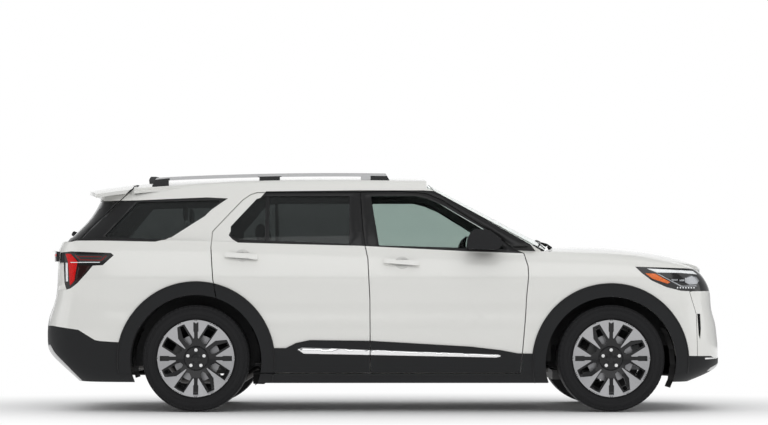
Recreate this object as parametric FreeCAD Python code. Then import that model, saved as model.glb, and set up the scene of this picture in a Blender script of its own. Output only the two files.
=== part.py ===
"""A three-row SUV: body panels, glass, doors, running gear and cabin, as separate solids.

Frame: +X is the front, +Y the left side, +Z up, origin on the ground under the middle of the body.
Lengthwise places are stations: -1 is the front bumper's tip, 0 the front axle, 1 the rear axle
and 2 the rear bumper's end. Heights are shares of the body's height, and widths of its half width.
"""
import FreeCAD, Part
import math
import os

Vector = FreeCAD.Vector

# Driving dimensions, in millimetres unless the name says otherwise
SIZES = [
    ("wheelbase", 3025),
    ("front_overhang", 870),
    ("rear_overhang", 1155),
    ("body_width", 2004),
    ("body_height", 1765),
    ("panel_gap", 7),
    ("seat_gap", 0.3),
    ("skin_thick", 16),
    ("door_skin_thick", 40),
    ("door_thick", 112),
    ("door_flange_thick", 14),
    ("door_frame_thick", 34),
    ("door_frame_inset", 16),
    ("layer_gap", 6),
    ("inner_gap", 12),
    ("ring_depth", 125),
    ("cabin_ring_depth", 60),
    ("glass_thick", 5),
    ("glass_depth", 7),
    ("glass_lap", 9),
    ("front_hinge_x", 996),
    ("rear_hinge_x", -154),
    ("hinge_depth", 12),
    ("hinge_radius", 7),
    ("hinge_length", 50),
    ("hinge_leaf_thick", 6),
    ("hinge_leaf_height", 9),
    ("hinge_swing_radius", 57),
    ("pin_radius", 3.5),
    ("pin_clearance", 0.05),
    ("moving_clearance", 6),
    ("arch_radius", 478),
    ("arch_trim_radius", 578),
    ("arch_trim_thick", 10),
    ("front_arch_drop", 30),
    ("rear_arch_drop", 16),
    ("gate_hinge_depth", 14),
    ("gate_thick", 46),
    ("hood_thick", 26),
    ("hood_hinge_x", 1120),
    ("hood_hinge_z", 1140),
    ("lamp_depth", 42),
    ("trim_thick", 8),
    ("floor_z", 330),
    ("tyre_radius", 390),
    ("tyre_width", 275),
    ("rim_radius", 284),
    ("rim_width", 246),
    ("track", 1690),
    ("hub_radius", 76),
    ("lug_circle_radius", 62),
    ("lug_radius", 12),
    ("disc_radius", 172),
    ("disc_thick", 28),
    ("steer_axis_inset", 95),
    ("steering_wheel_radius", 188),
    ("steering_rim_radius", 15),
    ("overrun", 60),
]


def make_sheet(doc):
    """The spreadsheet that holds the driving dimensions, each under its own alias."""
    sheet = doc.addObject("Spreadsheet::Sheet", "Sizes")
    for row, (alias, value) in enumerate(SIZES, start=1):
        sheet.set(f"A{row}", alias)
        sheet.set(f"B{row}", str(value))
        sheet.setAlias(f"B{row}", alias)
    doc.recompute()
    return sheet


doc = FreeCAD.newDocument("suv")
sheet = make_sheet(doc)


def size(alias):
    """A driving dimension, read from the sheet."""
    return float(sheet.get(alias))


WHEELBASE = size("wheelbase")
FRONT_OVERHANG = size("front_overhang")
REAR_OVERHANG = size("rear_overhang")
HEIGHT = size("body_height")
HALF_WIDTH = size("body_width") / 2
GAP = size("panel_gap")
SEAT_GAP = size("seat_gap")
OVERRUN = size("overrun")
LENGTH = FRONT_OVERHANG + WHEELBASE + REAR_OVERHANG
FRONT_AXLE_X = LENGTH / 2 - FRONT_OVERHANG
REAR_AXLE_X = FRONT_AXLE_X - WHEELBASE


def station(u):
    """The X of a station: -1 front tip, 0 front axle, 1 rear axle, 2 rear end."""
    if u < 0:
        return FRONT_AXLE_X - u * FRONT_OVERHANG
    if u <= 1:
        return FRONT_AXLE_X - u * WHEELBASE
    return REAR_AXLE_X - (u - 1) * REAR_OVERHANG


def read_off(table, at):
    """The value at a place in a table of (place, value) pairs, straight between its entries."""
    if at <= table[0][0]:
        return table[0][1]
    for (a, va), (b, vb) in zip(table, table[1:]):
        if at <= b:
            return va + (vb - va) * (at - a) / (b - a)
    return table[-1][1]


# Surfaces drawn by nets of control points


def spans(count, degree=3):
    """Knots and multiplicities of a clamped row of control points."""
    inner = count - degree
    return list(range(inner + 1)), [degree + 1] + [1] * (inner - 1) + [degree + 1]


def net_surface(net):
    """The cubic surface that a net of control points draws."""
    u_knots, u_mults = spans(len(net))
    v_knots, v_mults = spans(len(net[0]))
    surface = Part.BSplineSurface()
    surface.buildFromPolesMultsKnots(net, u_mults, v_mults, u_knots, v_knots, False, False, 3, 3)
    return surface


def net_normals(net):
    """The outward direction at each control point, from its neighbours."""
    rows, cols = len(net), len(net[0])
    normals = []
    for i in range(rows):
        line = []
        for j in range(cols):
            along = net[min(i + 1, rows - 1)][j] - net[max(i - 1, 0)][j]
            up = net[i][min(j + 1, cols - 1)] - net[i][max(j - 1, 0)]
            normal = along.cross(up)
            if net[i][j].y == 0:
                normal.y = 0
            line.append(normal.normalize())
        normals.append(line)
    return normals


def set_in(net, depth):
    """The net moved inwards by a depth."""
    normals = net_normals(net)
    return [[p - n * depth for p, n in zip(ps, ns)] for ps, ns in zip(net, normals)]


def solid_between(outer, inner):
    """The solid between two surfaces that share their parameters."""
    faces = [outer.toShape(), inner.toShape()]
    u0, u1, v0, v1 = outer.bounds()
    for cut in ("uIso", "vIso"):
        for at in ((u0, u1) if cut == "uIso" else (v0, v1)):
            edges = [getattr(surface, cut)(at).toShape() for surface in (outer, inner)]
            faces.append(Part.makeRuledSurface(*edges))
    shell = Part.makeShell(faces)
    shell.sewShape()
    solid = Part.Solid(shell)
    if solid.Volume < 0:
        solid.reverse()
    return solid


def thick_skin(net, outer_depth, inner_depth, part=None):
    """The layer of a skin between two depths. part limits it to a span of the net's own parameters."""
    surfaces = []
    for depth in (outer_depth, inner_depth):
        surface = net_surface(set_in(net, depth))
        if part:
            surface.segment(*part)
        surfaces.append(surface)
    return solid_between(*surfaces)


# The body's lower skin, from the front's middle round the left side to the rear's middle

PLAN_SHARES = [
    (-1.0, 0.0), (-1.0, 0.24), (-0.985, 0.52), (-0.90, 0.76), (-0.70, 0.905), (-0.42, 0.965),
    (-0.12, 0.985), (0.20, 0.985), (0.50, 0.985), (0.80, 0.99), (1.15, 0.995), (1.50, 0.98),
    (1.78, 0.935), (1.93, 0.83), (1.99, 0.60), (2.0, 0.30), (2.0, 0.0),
]
# Each level: height and inset of the side, of the front and of the rear.
# The last three heights of the side are shares of the way up to the belt line instead.
LEVEL_SHARES = [
    (0.122, 0.100, 0.122, 0.260, 0.136, 0.300),
    (0.148, 0.052, 0.142, 0.130, 0.187, 0.150),
    (0.198, 0.032, 0.176, 0.000, 0.227, 0.040),
    (0.261, 0.018, 0.215, 0.010, 0.261, 0.004),
    (0.317, 0.006, 0.249, 0.004, 0.306, 0.000),
    (0.365, 0.006, 0.306, 0.020, 0.363, 0.002),
    (0.431, 0.020, 0.363, 0.026, 0.402, 0.020),
    (0.499, 0.014, 0.408, 0.062, 0.453, 0.066),
    (0.547, 0.000, 0.453, 0.066, 0.510, 0.083),
    (0.578, 0.006, 0.499, 0.072, 0.567, 0.085),
    (0.50, 0.026, 0.544, 0.110, 0.623, 0.083),
    (0.80, 0.050, 0.578, 0.160, 0.674, 0.076),
    (1.06, 0.080, 0.601, 0.200, 0.722, 0.135),
]
BELT_LEVELS = 3
BELT_SHARES = [(-1.0, 0.600), (-0.5, 0.632), (0.0, 0.655), (0.22, 0.662), (1.0, 0.700), (2.0, 0.714)]
FENDER_ROLL_SHARES = [(-0.3, 0.065), (0.10, 0.050), (0.25, 0.0)]


def plan_normals():
    """The outward direction of the plan outline at each of its points, in real sizes."""
    points = [Vector(station(u), y * HALF_WIDTH, 0) for u, y in PLAN_SHARES]
    normals = []
    for i in range(len(points)):
        along = points[min(i + 1, len(points) - 1)] - points[max(i - 1, 0)]
        normals.append(along.cross(Vector(0, 0, 1)).normalize())
    normals[0] = Vector(1, 0, 0)
    normals[-1] = Vector(-1, 0, 0)
    return points, normals


def lower_net():
    """Control points of the left half of the lower skin, by plan point and level."""
    net = []
    for (u, _), point, normal in zip(PLAN_SHARES, *plan_normals()):
        front = max(0.0, normal.x) ** 2
        rear = max(0.0, -normal.x) ** 2
        side = 1 - front - rear
        column = []
        for level, (side_z, side_in, front_z, front_in, rear_z, rear_in) in enumerate(LEVEL_SHARES):
            if level >= len(LEVEL_SHARES) - BELT_LEVELS:
                last_fixed = LEVEL_SHARES[len(LEVEL_SHARES) - BELT_LEVELS - 1][0]
                side_z = last_fixed + (read_off(BELT_SHARES, u) - last_fixed) * side_z
            if level == len(LEVEL_SHARES) - 1:
                side_in += read_off(FENDER_ROLL_SHARES, u)
            z = (side * side_z + front * front_z + rear * rear_z) * HEIGHT
            inset = side * side_in * HALF_WIDTH
            inset += (front * front_in + rear * rear_in) * HALF_WIDTH
            column.append(point - normal * inset + Vector(0, 0, z))
        net.append(column)
    return net


# Outlines and the straight tools that cut them out


def side_points(shares):
    """Outline points in the side view, from stations and height shares."""
    return [Vector(station(u), 0, z * HEIGHT) for u, z in shares]


def front_points(shares):
    """Outline points in the front view, from width and height shares."""
    return [Vector(0, y * HALF_WIDTH, z * HEIGHT) for y, z in shares]


def plan_points(shares):
    """Outline points in the plan view, from stations and width shares."""
    return [Vector(station(u), y * HALF_WIDTH, 0) for u, y in shares]


def outline_normal(points):
    """The direction that an outline turns about, by the right-hand rule."""
    total = Vector(0, 0, 0)
    for a, b in zip(points, points[1:] + points[:1]):
        total += a.cross(b)
    return total.normalize()


def grown(points, distance):
    """The outline with each edge moved outwards, or inwards where the distance is negative."""
    axis = outline_normal(points)
    count = len(points)
    moved = []
    for i, corner in enumerate(points):
        before = (corner - points[i - 1]).normalize()
        after = (points[(i + 1) % count] - corner).normalize()
        out_before, out_after = before.cross(axis), after.cross(axis)
        middle = (out_before + out_after).normalize()
        moved.append(corner + middle * (distance / middle.dot(out_before)))
    return moved


def rounded(points, radius):
    """A closed wire through an outline, with its corners rounded where they have room."""
    count = len(points)
    cuts = []
    for i, corner in enumerate(points):
        back, ahead = points[i - 1] - corner, points[(i + 1) % count] - corner
        half = back.getAngle(ahead) / 2
        room = min(back.Length, ahead.Length) / 2
        reach = min(radius / math.tan(half), room * 0.96) if half < math.pi * 0.49 else 0
        start, end = corner + back.normalize() * reach, corner + ahead.normalize() * reach
        bulge = reach * math.tan(half)
        middle = (start + end) / 2
        to_corner = corner - middle
        if reach and to_corner.Length:
            centre = corner - to_corner.normalize() * (bulge / math.sin(half))
            middle = centre + to_corner.normalize() * bulge
        cuts.append((start, middle, end, reach))
    edges = []
    for i, (start, middle, end, reach) in enumerate(cuts):
        if reach:
            edges.append(Part.Arc(start, middle, end).toShape())
        following = cuts[(i + 1) % count][0]
        if (following - end).Length > SEAT_GAP / 10:
            edges.append(Part.LineSegment(end, following).toShape())
    return Part.Wire(edges)


def prism(points, low, high, radius=0):
    """An outline carried along its own axis between two places on that axis, in real sizes."""
    wire = rounded(points, radius) if radius else Part.makePolygon(points + points[:1])
    axis = outline_normal(points)
    axis = Vector(abs(axis.x), abs(axis.y), abs(axis.z))
    face = Part.Face(wire)
    face.translate(axis * low)
    return face.extrude(axis * (high - low))


def box(x0, x1, y0, y1, z0, z1):
    """A block between real places."""
    x0, x1 = sorted((x0, x1))
    y0, y1 = sorted((y0, y1))
    z0, z1 = sorted((z0, z1))
    return Part.makeBox(x1 - x0, y1 - y0, z1 - z0, Vector(x0, y0, z0))


def block(shares):
    """A block between two stations, two width shares and two height shares."""
    u0, u1, y0, y1, z0, z1 = shares
    across = (y0 * HALF_WIDTH, y1 * HALF_WIDTH)
    return box(station(u0), station(u1), *across, z0 * HEIGHT, z1 * HEIGHT)


def rod(start, end, radius):
    """A round bar between two points."""
    along = end - start
    return Part.makeCylinder(radius, along.Length, start, along)


def tube(start, end, radius, bore):
    """A round tube between two points."""
    return rod(start, end, radius).cut(rod(start, end, bore))


def mirrored(shape):
    """The same form on the other side of the body."""
    return shape.mirror(Vector(0, 0, 0), Vector(0, 1, 0))


def both_sides(shape):
    """The form and its twin on the other side, as solids that don't touch."""
    return Part.makeCompound([shape, mirrored(shape)])


def cut_all(shape, tools):
    """The shape less every tool."""
    tools = list(tools)
    return shape.cut(tools) if tools else shape


# The cabin's skin above the belt, and the roof

CABIN_SPAN_SHARE = 0.02
CABIN_PLAN_SHARES = [
    (0.0, 1.0), (0.15, 1.0), (0.32, 1.0), (0.50, 1.0), (0.66, 0.995), (0.80, 0.975),
    (0.90, 0.93), (0.965, 0.83), (0.995, 0.62), (1.0, 0.33), (1.0, 0.0),
]
REAR_BLEND_SHARES = [(0.66, 0.0), (0.80, 0.1), (0.90, 0.35), (0.965, 0.75), (0.995, 0.97), (1.0, 1.0)]
# Each level: the way up the side, the side's width, the rear's height and how far it leans in
CABIN_LEVEL_SHARES = [
    (0.00, 0.925, 0.640, 0.024),
    (0.12, 0.915, 0.694, 0.044),
    (0.27, 0.885, 0.737, 0.0655),
    (0.47, 0.830, 0.793, 0.1085),
    (0.66, 0.765, 0.850, 0.1336),
    (0.82, 0.712, 0.895, 0.148),
    (0.90, 0.676, 0.922, 0.156),
    (0.94, 0.636, 0.935, 0.160),
]
CABIN_BASE_SHARE = 0.640
ROOF_SHARES = [
    (0.20, 0.978), (0.40, 0.982), (0.49, 0.986), (0.65, 0.990), (0.84, 0.987),
    (1.11, 0.976), (1.42, 0.964), (1.66, 0.942), (1.75, 0.930),
]
ROOF_ACROSS_SHARES = [(0.0, 0.0), (0.22, 0.002), (0.42, 0.009), (0.56, 0.020), (0.66, 0.034)]


def roof_height(u):
    """The height of the roof's centre line at a station."""
    return read_off(ROOF_SHARES, u) * HEIGHT


def station_of(x):
    """The station at an X."""
    if x > FRONT_AXLE_X:
        return (FRONT_AXLE_X - x) / FRONT_OVERHANG
    if x > REAR_AXLE_X:
        return (FRONT_AXLE_X - x) / WHEELBASE
    return 1 + (REAR_AXLE_X - x) / REAR_OVERHANG


def cabin_net():
    """Control points of the cabin's left half, from its front round to the rear glass."""
    front_x = station(CABIN_SPAN_SHARE)
    net = []
    for along, across in CABIN_PLAN_SHARES:
        rear = read_off(REAR_BLEND_SHARES, along)
        column = []
        for side_way, side_y, rear_z, lean in CABIN_LEVEL_SHARES:
            rear_x = -LENGTH / 2 + lean * LENGTH / 2
            x = front_x + (rear_x - front_x) * along
            base = CABIN_BASE_SHARE * HEIGHT
            side_z = base + (roof_height(station_of(x)) - base) * side_way
            z = side_z * (1 - rear) + rear_z * HEIGHT * rear
            column.append(Vector(x, side_y * across * HALF_WIDTH, z))
        net.append(column)
    return net


def roof_net():
    """Control points of the whole roof, from its front to the spoiler's tip, right to left."""
    across = [(-y, drop) for y, drop in reversed(ROOF_ACROSS_SHARES[1:])] + ROOF_ACROSS_SHARES
    net = []
    for u, z in ROOF_SHARES:
        net.append([Vector(station(u), y * HALF_WIDTH, (z - drop) * HEIGHT) for y, drop in across])
    return [list(reversed(column)) for column in net]


# The hood, as control points over the plan

HOOD_SHARES = [
    (0.17, 0.672, 0.84), (0.10, 0.682, 0.85), (0.0, 0.678, 0.86), (-0.20, 0.668, 0.87),
    (-0.42, 0.655, 0.87), (-0.62, 0.634, 0.86), (-0.80, 0.604, 0.85), (-0.92, 0.560, 0.84),
]
HOOD_ACROSS_SHARES = [(0.0, 0.009), (0.30, 0.008), (0.62, 0.002), (0.85, -0.008), (1.0, -0.030)]


def hood_net():
    """Control points of the whole hood, from rear to front, right to left."""
    across = [(-y, rise) for y, rise in reversed(HOOD_ACROSS_SHARES[1:])] + HOOD_ACROSS_SHARES
    net = []
    for u, z, width in HOOD_SHARES:
        net.append([Vector(station(u), y * width * HALF_WIDTH, (z + rise) * HEIGHT) for y, rise in across])
    return net


BAND = lower_net()
CABIN = cabin_net()
ROOF = roof_net()
HOOD = hood_net()
SKIN = size("skin_thick")
OUTSIDE = (0, 2 * HALF_WIDTH)
WHEEL_Z = size("tyre_radius")
ARCH_Z = {FRONT_AXLE_X: WHEEL_Z - size("front_arch_drop"), REAR_AXLE_X: WHEEL_Z - size("rear_arch_drop")}


def side_prism(points, radius=0):
    """A side-view outline carried across the left half of the body."""
    return prism(points, *OUTSIDE, radius)


def skin_y(x, z):
    """How far out the lower skin lies at a place in the side view."""
    ray = Part.makeLine(Vector(x, 0, z), Vector(x, 2 * HALF_WIDTH, z))
    return thick_skin(BAND, 0, SKIN).common(ray).BoundBox.YMax


def arch_disc(axle_x, radius):
    """A disc across the left half, centred on a wheel arch."""
    start = Vector(axle_x, HALF_WIDTH / 2, ARCH_Z[axle_x])
    return rod(start, start + Vector(0, HALF_WIDTH, 0), radius)


# Door outlines and windows in the side view

FRONT_DOOR_SHARES = [
    (0.219, 0.160), (0.213, 0.261), (0.206, 0.403), (0.204, 0.469), (0.199, 0.561), (0.200, 0.601),
    (0.209, 0.655), (0.229, 0.669), (0.294, 0.755), (0.351, 0.818), (0.404, 0.878), (0.444, 0.908),
    (0.508, 0.917), (0.605, 0.914), (0.598, 0.751), (0.593, 0.688), (0.586, 0.632), (0.581, 0.467),
    (0.580, 0.160),
]
REAR_DOOR_SHARES = [
    (0.580, 0.160), (0.581, 0.467), (0.586, 0.632), (0.593, 0.688), (0.598, 0.751), (0.605, 0.914),
    (0.857, 0.912), (0.873, 0.903), (0.892, 0.88), (0.963, 0.746), (0.965, 0.68), (0.959, 0.545),
    (0.950, 0.460), (0.950, 0.160),
]
FRONT_DOOR_INNER_SHARES = [(0.2225, 0.235), (0.2225, 0.660), (0.57, 0.690), (0.57, 0.235)]
REAR_DOOR_INNER_SHARES = [(0.603, 0.235), (0.603, 0.70), (0.935, 0.72), (0.93, 0.235)]
FRONT_WINDOW_SHARES = [
    (0.253, 0.673), (0.307, 0.758), (0.405, 0.859), (0.44, 0.884), (0.469, 0.897), (0.579, 0.897),
    (0.559, 0.688),
]
REAR_WINDOW_SHARES = [
    (0.631, 0.694), (0.631, 0.897), (0.834, 0.897), (0.858, 0.885), (0.919, 0.768), (0.919, 0.732),
    (0.897, 0.712),
]
QUARTER_WINDOW_SHARES = [
    (0.945, 0.880), (1.40, 0.872), (1.60, 0.725), (1.241, 0.713), (1.165, 0.722), (0.983, 0.812),
]
FRONT_SWING_SHARES = [(0.15, 0.19, 1.3), (0.15, 0.61, 1.0), (0.576, 0.61, 1.25), (0.60, 0.685, 1.5)]
REAR_SWING_SHARES = [
    (0.15, 0.19, 1.7), (0.19, 0.318, 1.45), (0.15, 0.61, 1.0), (0.362, 0.533, 1.17), (0.60, 0.685, 1.5),
]
HINGE_SHARES = (0.34, 0.555)


def door_panel(outline_shares, inner_shares, window_shares, axis):
    """A door: thick outer panel, set-in inner panel and the frame round its window."""
    outline = grown(side_points(outline_shares), -GAP / 2)
    rear_arch = arch_disc(REAR_AXLE_X, size("arch_radius"))
    outer = thick_skin(BAND, 0, size("door_skin_thick")).common(side_prism(outline)).cut(rear_arch)
    overlap = size("door_skin_thick") - SEAT_GAP
    inner = thick_skin(BAND, overlap, size("door_thick")).common(side_prism(side_points(inner_shares)))
    inner = inner.cut(arch_disc(REAR_AXLE_X, size("arch_trim_radius")))
    flange = thick_skin(CABIN, 0, size("door_flange_thick")).common(side_prism(outline))
    frame_depths = (size("door_flange_thick") - SEAT_GAP, size("door_frame_thick"))
    inset_outline = grown(outline, -size("door_frame_inset"))
    frame = thick_skin(CABIN, *frame_depths).common(side_prism(inset_outline))
    upper = flange.fuse(frame)
    upper = upper.cut(side_prism(side_points(window_shares), size("glass_lap")))
    door = outer.fuse([inner, upper])
    door = door.cut(glass_layer(window_shares, SEAT_GAP))
    return fit_hinges(door, axis)


def glass_layer(window_shares, spare=0):
    """The pane of a side window. A spare makes the groove that it sits in."""
    depth, thick = size("glass_depth"), size("glass_thick")
    outline = grown(side_points(window_shares), size("glass_lap") + spare)
    layer = thick_skin(CABIN, depth - spare, depth + thick + spare)
    return layer.common(side_prism(outline, size("glass_lap")))


def hinge_axis(x):
    """A door's hinge axis in the plan: under the skin at the lower hinge."""
    depth = size("hinge_depth")
    return Vector(x, min(skin_y(x, share * HEIGHT) for share in HINGE_SHARES) - depth, 0)


def fit_hinges(door, axis):
    """The door with a pocket for each hinge leaf and a barrel round each pin."""
    reach = size("hinge_length") / 2 + size("hinge_leaf_height") + size("moving_clearance")
    radius, bore = size("hinge_radius"), size("pin_radius") + size("pin_clearance")
    leaf = size("hinge_leaf_thick") / 2
    for share in HINGE_SHARES:
        middle = axis + Vector(0, 0, share * HEIGHT)
        behind = middle.x - leaf - size("moving_clearance")
        out = middle.y + leaf + size("moving_clearance") - 1 * SEAT_GAP
        pocket = box(behind, middle.x + 2 * OVERRUN, out, out - 3 * OVERRUN, middle.z - reach, middle.z + reach)
        half = Vector(0, 0, size("hinge_length") / 2)
        barrel = rod(middle - half, middle + half, radius)
        arm = box(middle.x, behind - radius, middle.y - radius, middle.y + radius,
                  middle.z - half.z, middle.z + half.z)
        door = door.cut(pocket).fuse([barrel, arm])
        door = door.cut(rod(middle - half * 2, middle + half * 2, bore))
    return door


def hinge_pins(axis):
    """The body's share of a door's hinges: pins, each between two leaves on the pillar."""
    solids = []
    leaf, height = size("hinge_leaf_thick") / 2, size("hinge_leaf_height")
    for share in HINGE_SHARES:
        middle = axis + Vector(0, 0, share * HEIGHT)
        half = size("hinge_length") / 2
        up = Vector(0, 0, half + height)
        solids.append(rod(middle - up, middle + up, size("pin_radius")))
        for side in (-1, 1):
            low = middle.z + side * (half + SEAT_GAP)
            solids.append(box(middle.x - leaf, middle.x + leaf, middle.y + size("pin_radius"),
                              middle.y - size("hinge_swing_radius") - leaf * 5, low, low + side * height))
    return solids


def hinge_swing(axis, shares):
    """The room that a door's leading flange swings through, by height."""
    tools = []
    for low, high, share in shares:
        start = axis + Vector(0, 0, low * HEIGHT)
        radius = size("hinge_swing_radius") * share
        tools.append(rod(start, start + Vector(0, 0, (high - low) * HEIGHT), radius))
    return tools


# The gate's outline in the side and rear views, and the screen's

GATE_UPPER_SHARES = [
    (1.434, 1.04), (1.434, 0.932), (1.509, 0.885), (1.68, 0.776), (1.765, 0.714), (1.82, 0.706),
    (2.3, 0.706), (2.3, 1.04),
]
GATE_LOWER_SHARES = [
    (-0.745, 0.706), (-0.745, 0.50), (-0.70, 0.43), (-0.60, 0.385), (0.60, 0.385), (0.70, 0.43),
    (0.745, 0.50), (0.745, 0.706),
]
GATE_GLASS_SHARES = [(-0.60, 0.725), (-0.50, 0.885), (0.50, 0.885), (0.60, 0.725)]
GATE_FRONT_SHARE = 1.72
SPOILER_HALF_SHARES = [(1.30, 0.70), (1.655, 0.70), (1.672, 0.62), (1.70, 0.53), (1.727, 0.40), (1.746, 0.20)]
SCREEN_SIDE_SHARES = [
    (0.168, 0.60), (0.168, 0.668), (0.428, 0.922), (0.443, 0.930), (0.443, 1.2), (-0.5, 1.2),
    (-0.5, 0.60),
]
SKIN_SPAN_SHARES = [(0.19, 0.10), (0.19, 1.2), (2.3, 1.2), (2.3, 0.10)]
INNER_SPAN_SHARES = [(0.165, 0.140), (0.165, 0.66), (0.90, 0.705), (0.90, 0.140)]
FENDER_REST_SHARES = [(0.175, 0.21), (0.175, 0.645), (0.145, 0.645), (0.145, 0.21)]
ABOVE_BELT_SHARES = [(-0.5, 0.634), (-0.5, 1.2), (2.3, 1.2), (2.3, 0.634)]
BELT_RAIL_SHARES = [(0.90, 0.64), (0.90, 0.73), (1.74, 0.73), (1.74, 0.665)]
CABIN_SPAN_OUTLINE_SHARES = [(0.05, 0.655), (0.05, 1.2), (2.3, 1.2), (2.3, 0.680)]
REAR_BUMPER_SHARES = [
    (1.418, 0.285), (1.607, 0.293), (1.62, 0.62), (2.3, 0.62), (2.3, 0.10), (1.418, 0.10),
]
REAR_VALANCE_SHARES = [
    (1.30, 0.285), (1.418, 0.285), (1.607, 0.293), (1.639, 0.297), (1.746, 0.339), (1.923, 0.355),
    (2.3, 0.355), (2.3, 0.05), (1.30, 0.05),
]
TAIL_LAMP_SHARES = [
    (1.95, 0.657), (1.8, 0.664), (1.541, 0.657), (1.522, 0.647), (1.591, 0.606), (1.655, 0.604),
    (1.699, 0.57), (1.756, 0.531), (1.8, 0.51), (1.836, 0.504), (2.1, 0.504), (2.1, 0.657),
]
FRONT_BUMPER_SHARES = [
    (-0.739, 0.235), (-0.731, 0.405), (-0.672, 0.496), (-0.696, 0.498), (-1.3, 0.54), (-1.3, 0.20),
    (-0.739, 0.20),
]
FRONT_VALANCE_SHARES = [
    (-0.50, 0.05), (-0.558, 0.235), (-0.651, 0.231), (-0.869, 0.229), (-0.894, 0.219),
    (-1.3, 0.219), (-1.3, 0.05),
]
HEAD_LAMP_SHARES = [
    (-0.202, 0.600), (-0.738, 0.592), (-1.3, 0.575), (-1.3, 0.505), (-0.696, 0.498),
    (-0.595, 0.500), (-0.468, 0.515), (-0.341, 0.542), (-0.257, 0.573),
]
GRILLE_SHARES = [
    (-0.50, 0.335), (-0.57, 0.40), (-0.60, 0.56), (-0.56, 0.585), (0.56, 0.585), (0.60, 0.56),
    (0.57, 0.40), (0.50, 0.335),
]
HOOD_HALF_SHARES = [
    (0.128, 0.30), (0.133, 0.55), (0.147, 0.79), (0.10, 0.822), (-0.20, 0.828), (-0.45, 0.815),
    (-0.64, 0.76), (-0.78, 0.60), (-0.835, 0.35),
]
FENDER_SHARES = [(0.26, 0.232), (0.26, 0.75), (-0.95, 0.75), (-0.95, 0.222), (-0.50, 0.232)]
ROOF_PLAN_SHARES = [(0.446, 0.628), (0.446, -0.628), (1.40, -0.628), (1.40, 0.628)]
ROOF_LEDGE_SHARES = [(0.455, 0.54), (0.455, 0.66), (1.42, 0.66), (1.42, 0.54)]
BEAM_SHARES = [(-0.5, 0.26), (0.5, 0.26), (0.5, 0.33), (-0.5, 0.33)]


def full(half):
    """A half skin and its mirror, as one piece across the middle."""
    return half.fuse(mirrored(half))


def front_prism(shares, start, end, grow=0, radius=0):
    """A front-view outline carried along X between two places."""
    return prism(grown(front_points(shares), grow), min(start, end), max(start, end), radius)


def plan_prism(shares, grow=0, radius=0):
    """A plan outline carried up through the whole height."""
    return prism(grown(plan_points(shares), grow), 0, 2 * HEIGHT, radius)


def symmetric(half_shares):
    """A plan outline from its left half."""
    return half_shares + [(u, -y) for u, y in reversed(half_shares)]


def gate_tools(grow=0):
    """The gate's space, above and below the belt."""
    upper = grown(side_points(GATE_UPPER_SHARES), grow)
    upper = prism(upper, -2 * HALF_WIDTH, 2 * HALF_WIDTH)
    start, end = station(GATE_FRONT_SHARE), -LENGTH
    return [upper, front_prism(GATE_LOWER_SHARES, start, end, grow)]


def screen_net():
    """Control points of the windscreen, from its base to its top, left to right."""
    base, top = (0.142, 0.6975, 0.158, 0.668, 0.868), (0.438, 0.964, 0.424, 0.921, 0.660)
    net = []
    for way in (0.0, 0.33, 0.67, 1.0):
        u, z, side_u, side_z, width = [a + (b - a) * way for a, b in zip(base, top)]
        column = []
        for across in (1.0, 0.7, 0.35, 0.0, -0.35, -0.7, -1.0):
            bow = across * across
            x = station(u) + (station(side_u) - station(u)) * bow
            height = (z + (side_z - z) * bow) * HEIGHT
            column.append(Vector(x, across * width * HALF_WIDTH, height))
        net.append(column)
    return net


def screen_layer(spare=0):
    """The windscreen's pane. A spare makes the groove that it sits in."""
    return thick_skin(screen_net(), -spare, size("glass_thick") + spare)


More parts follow.
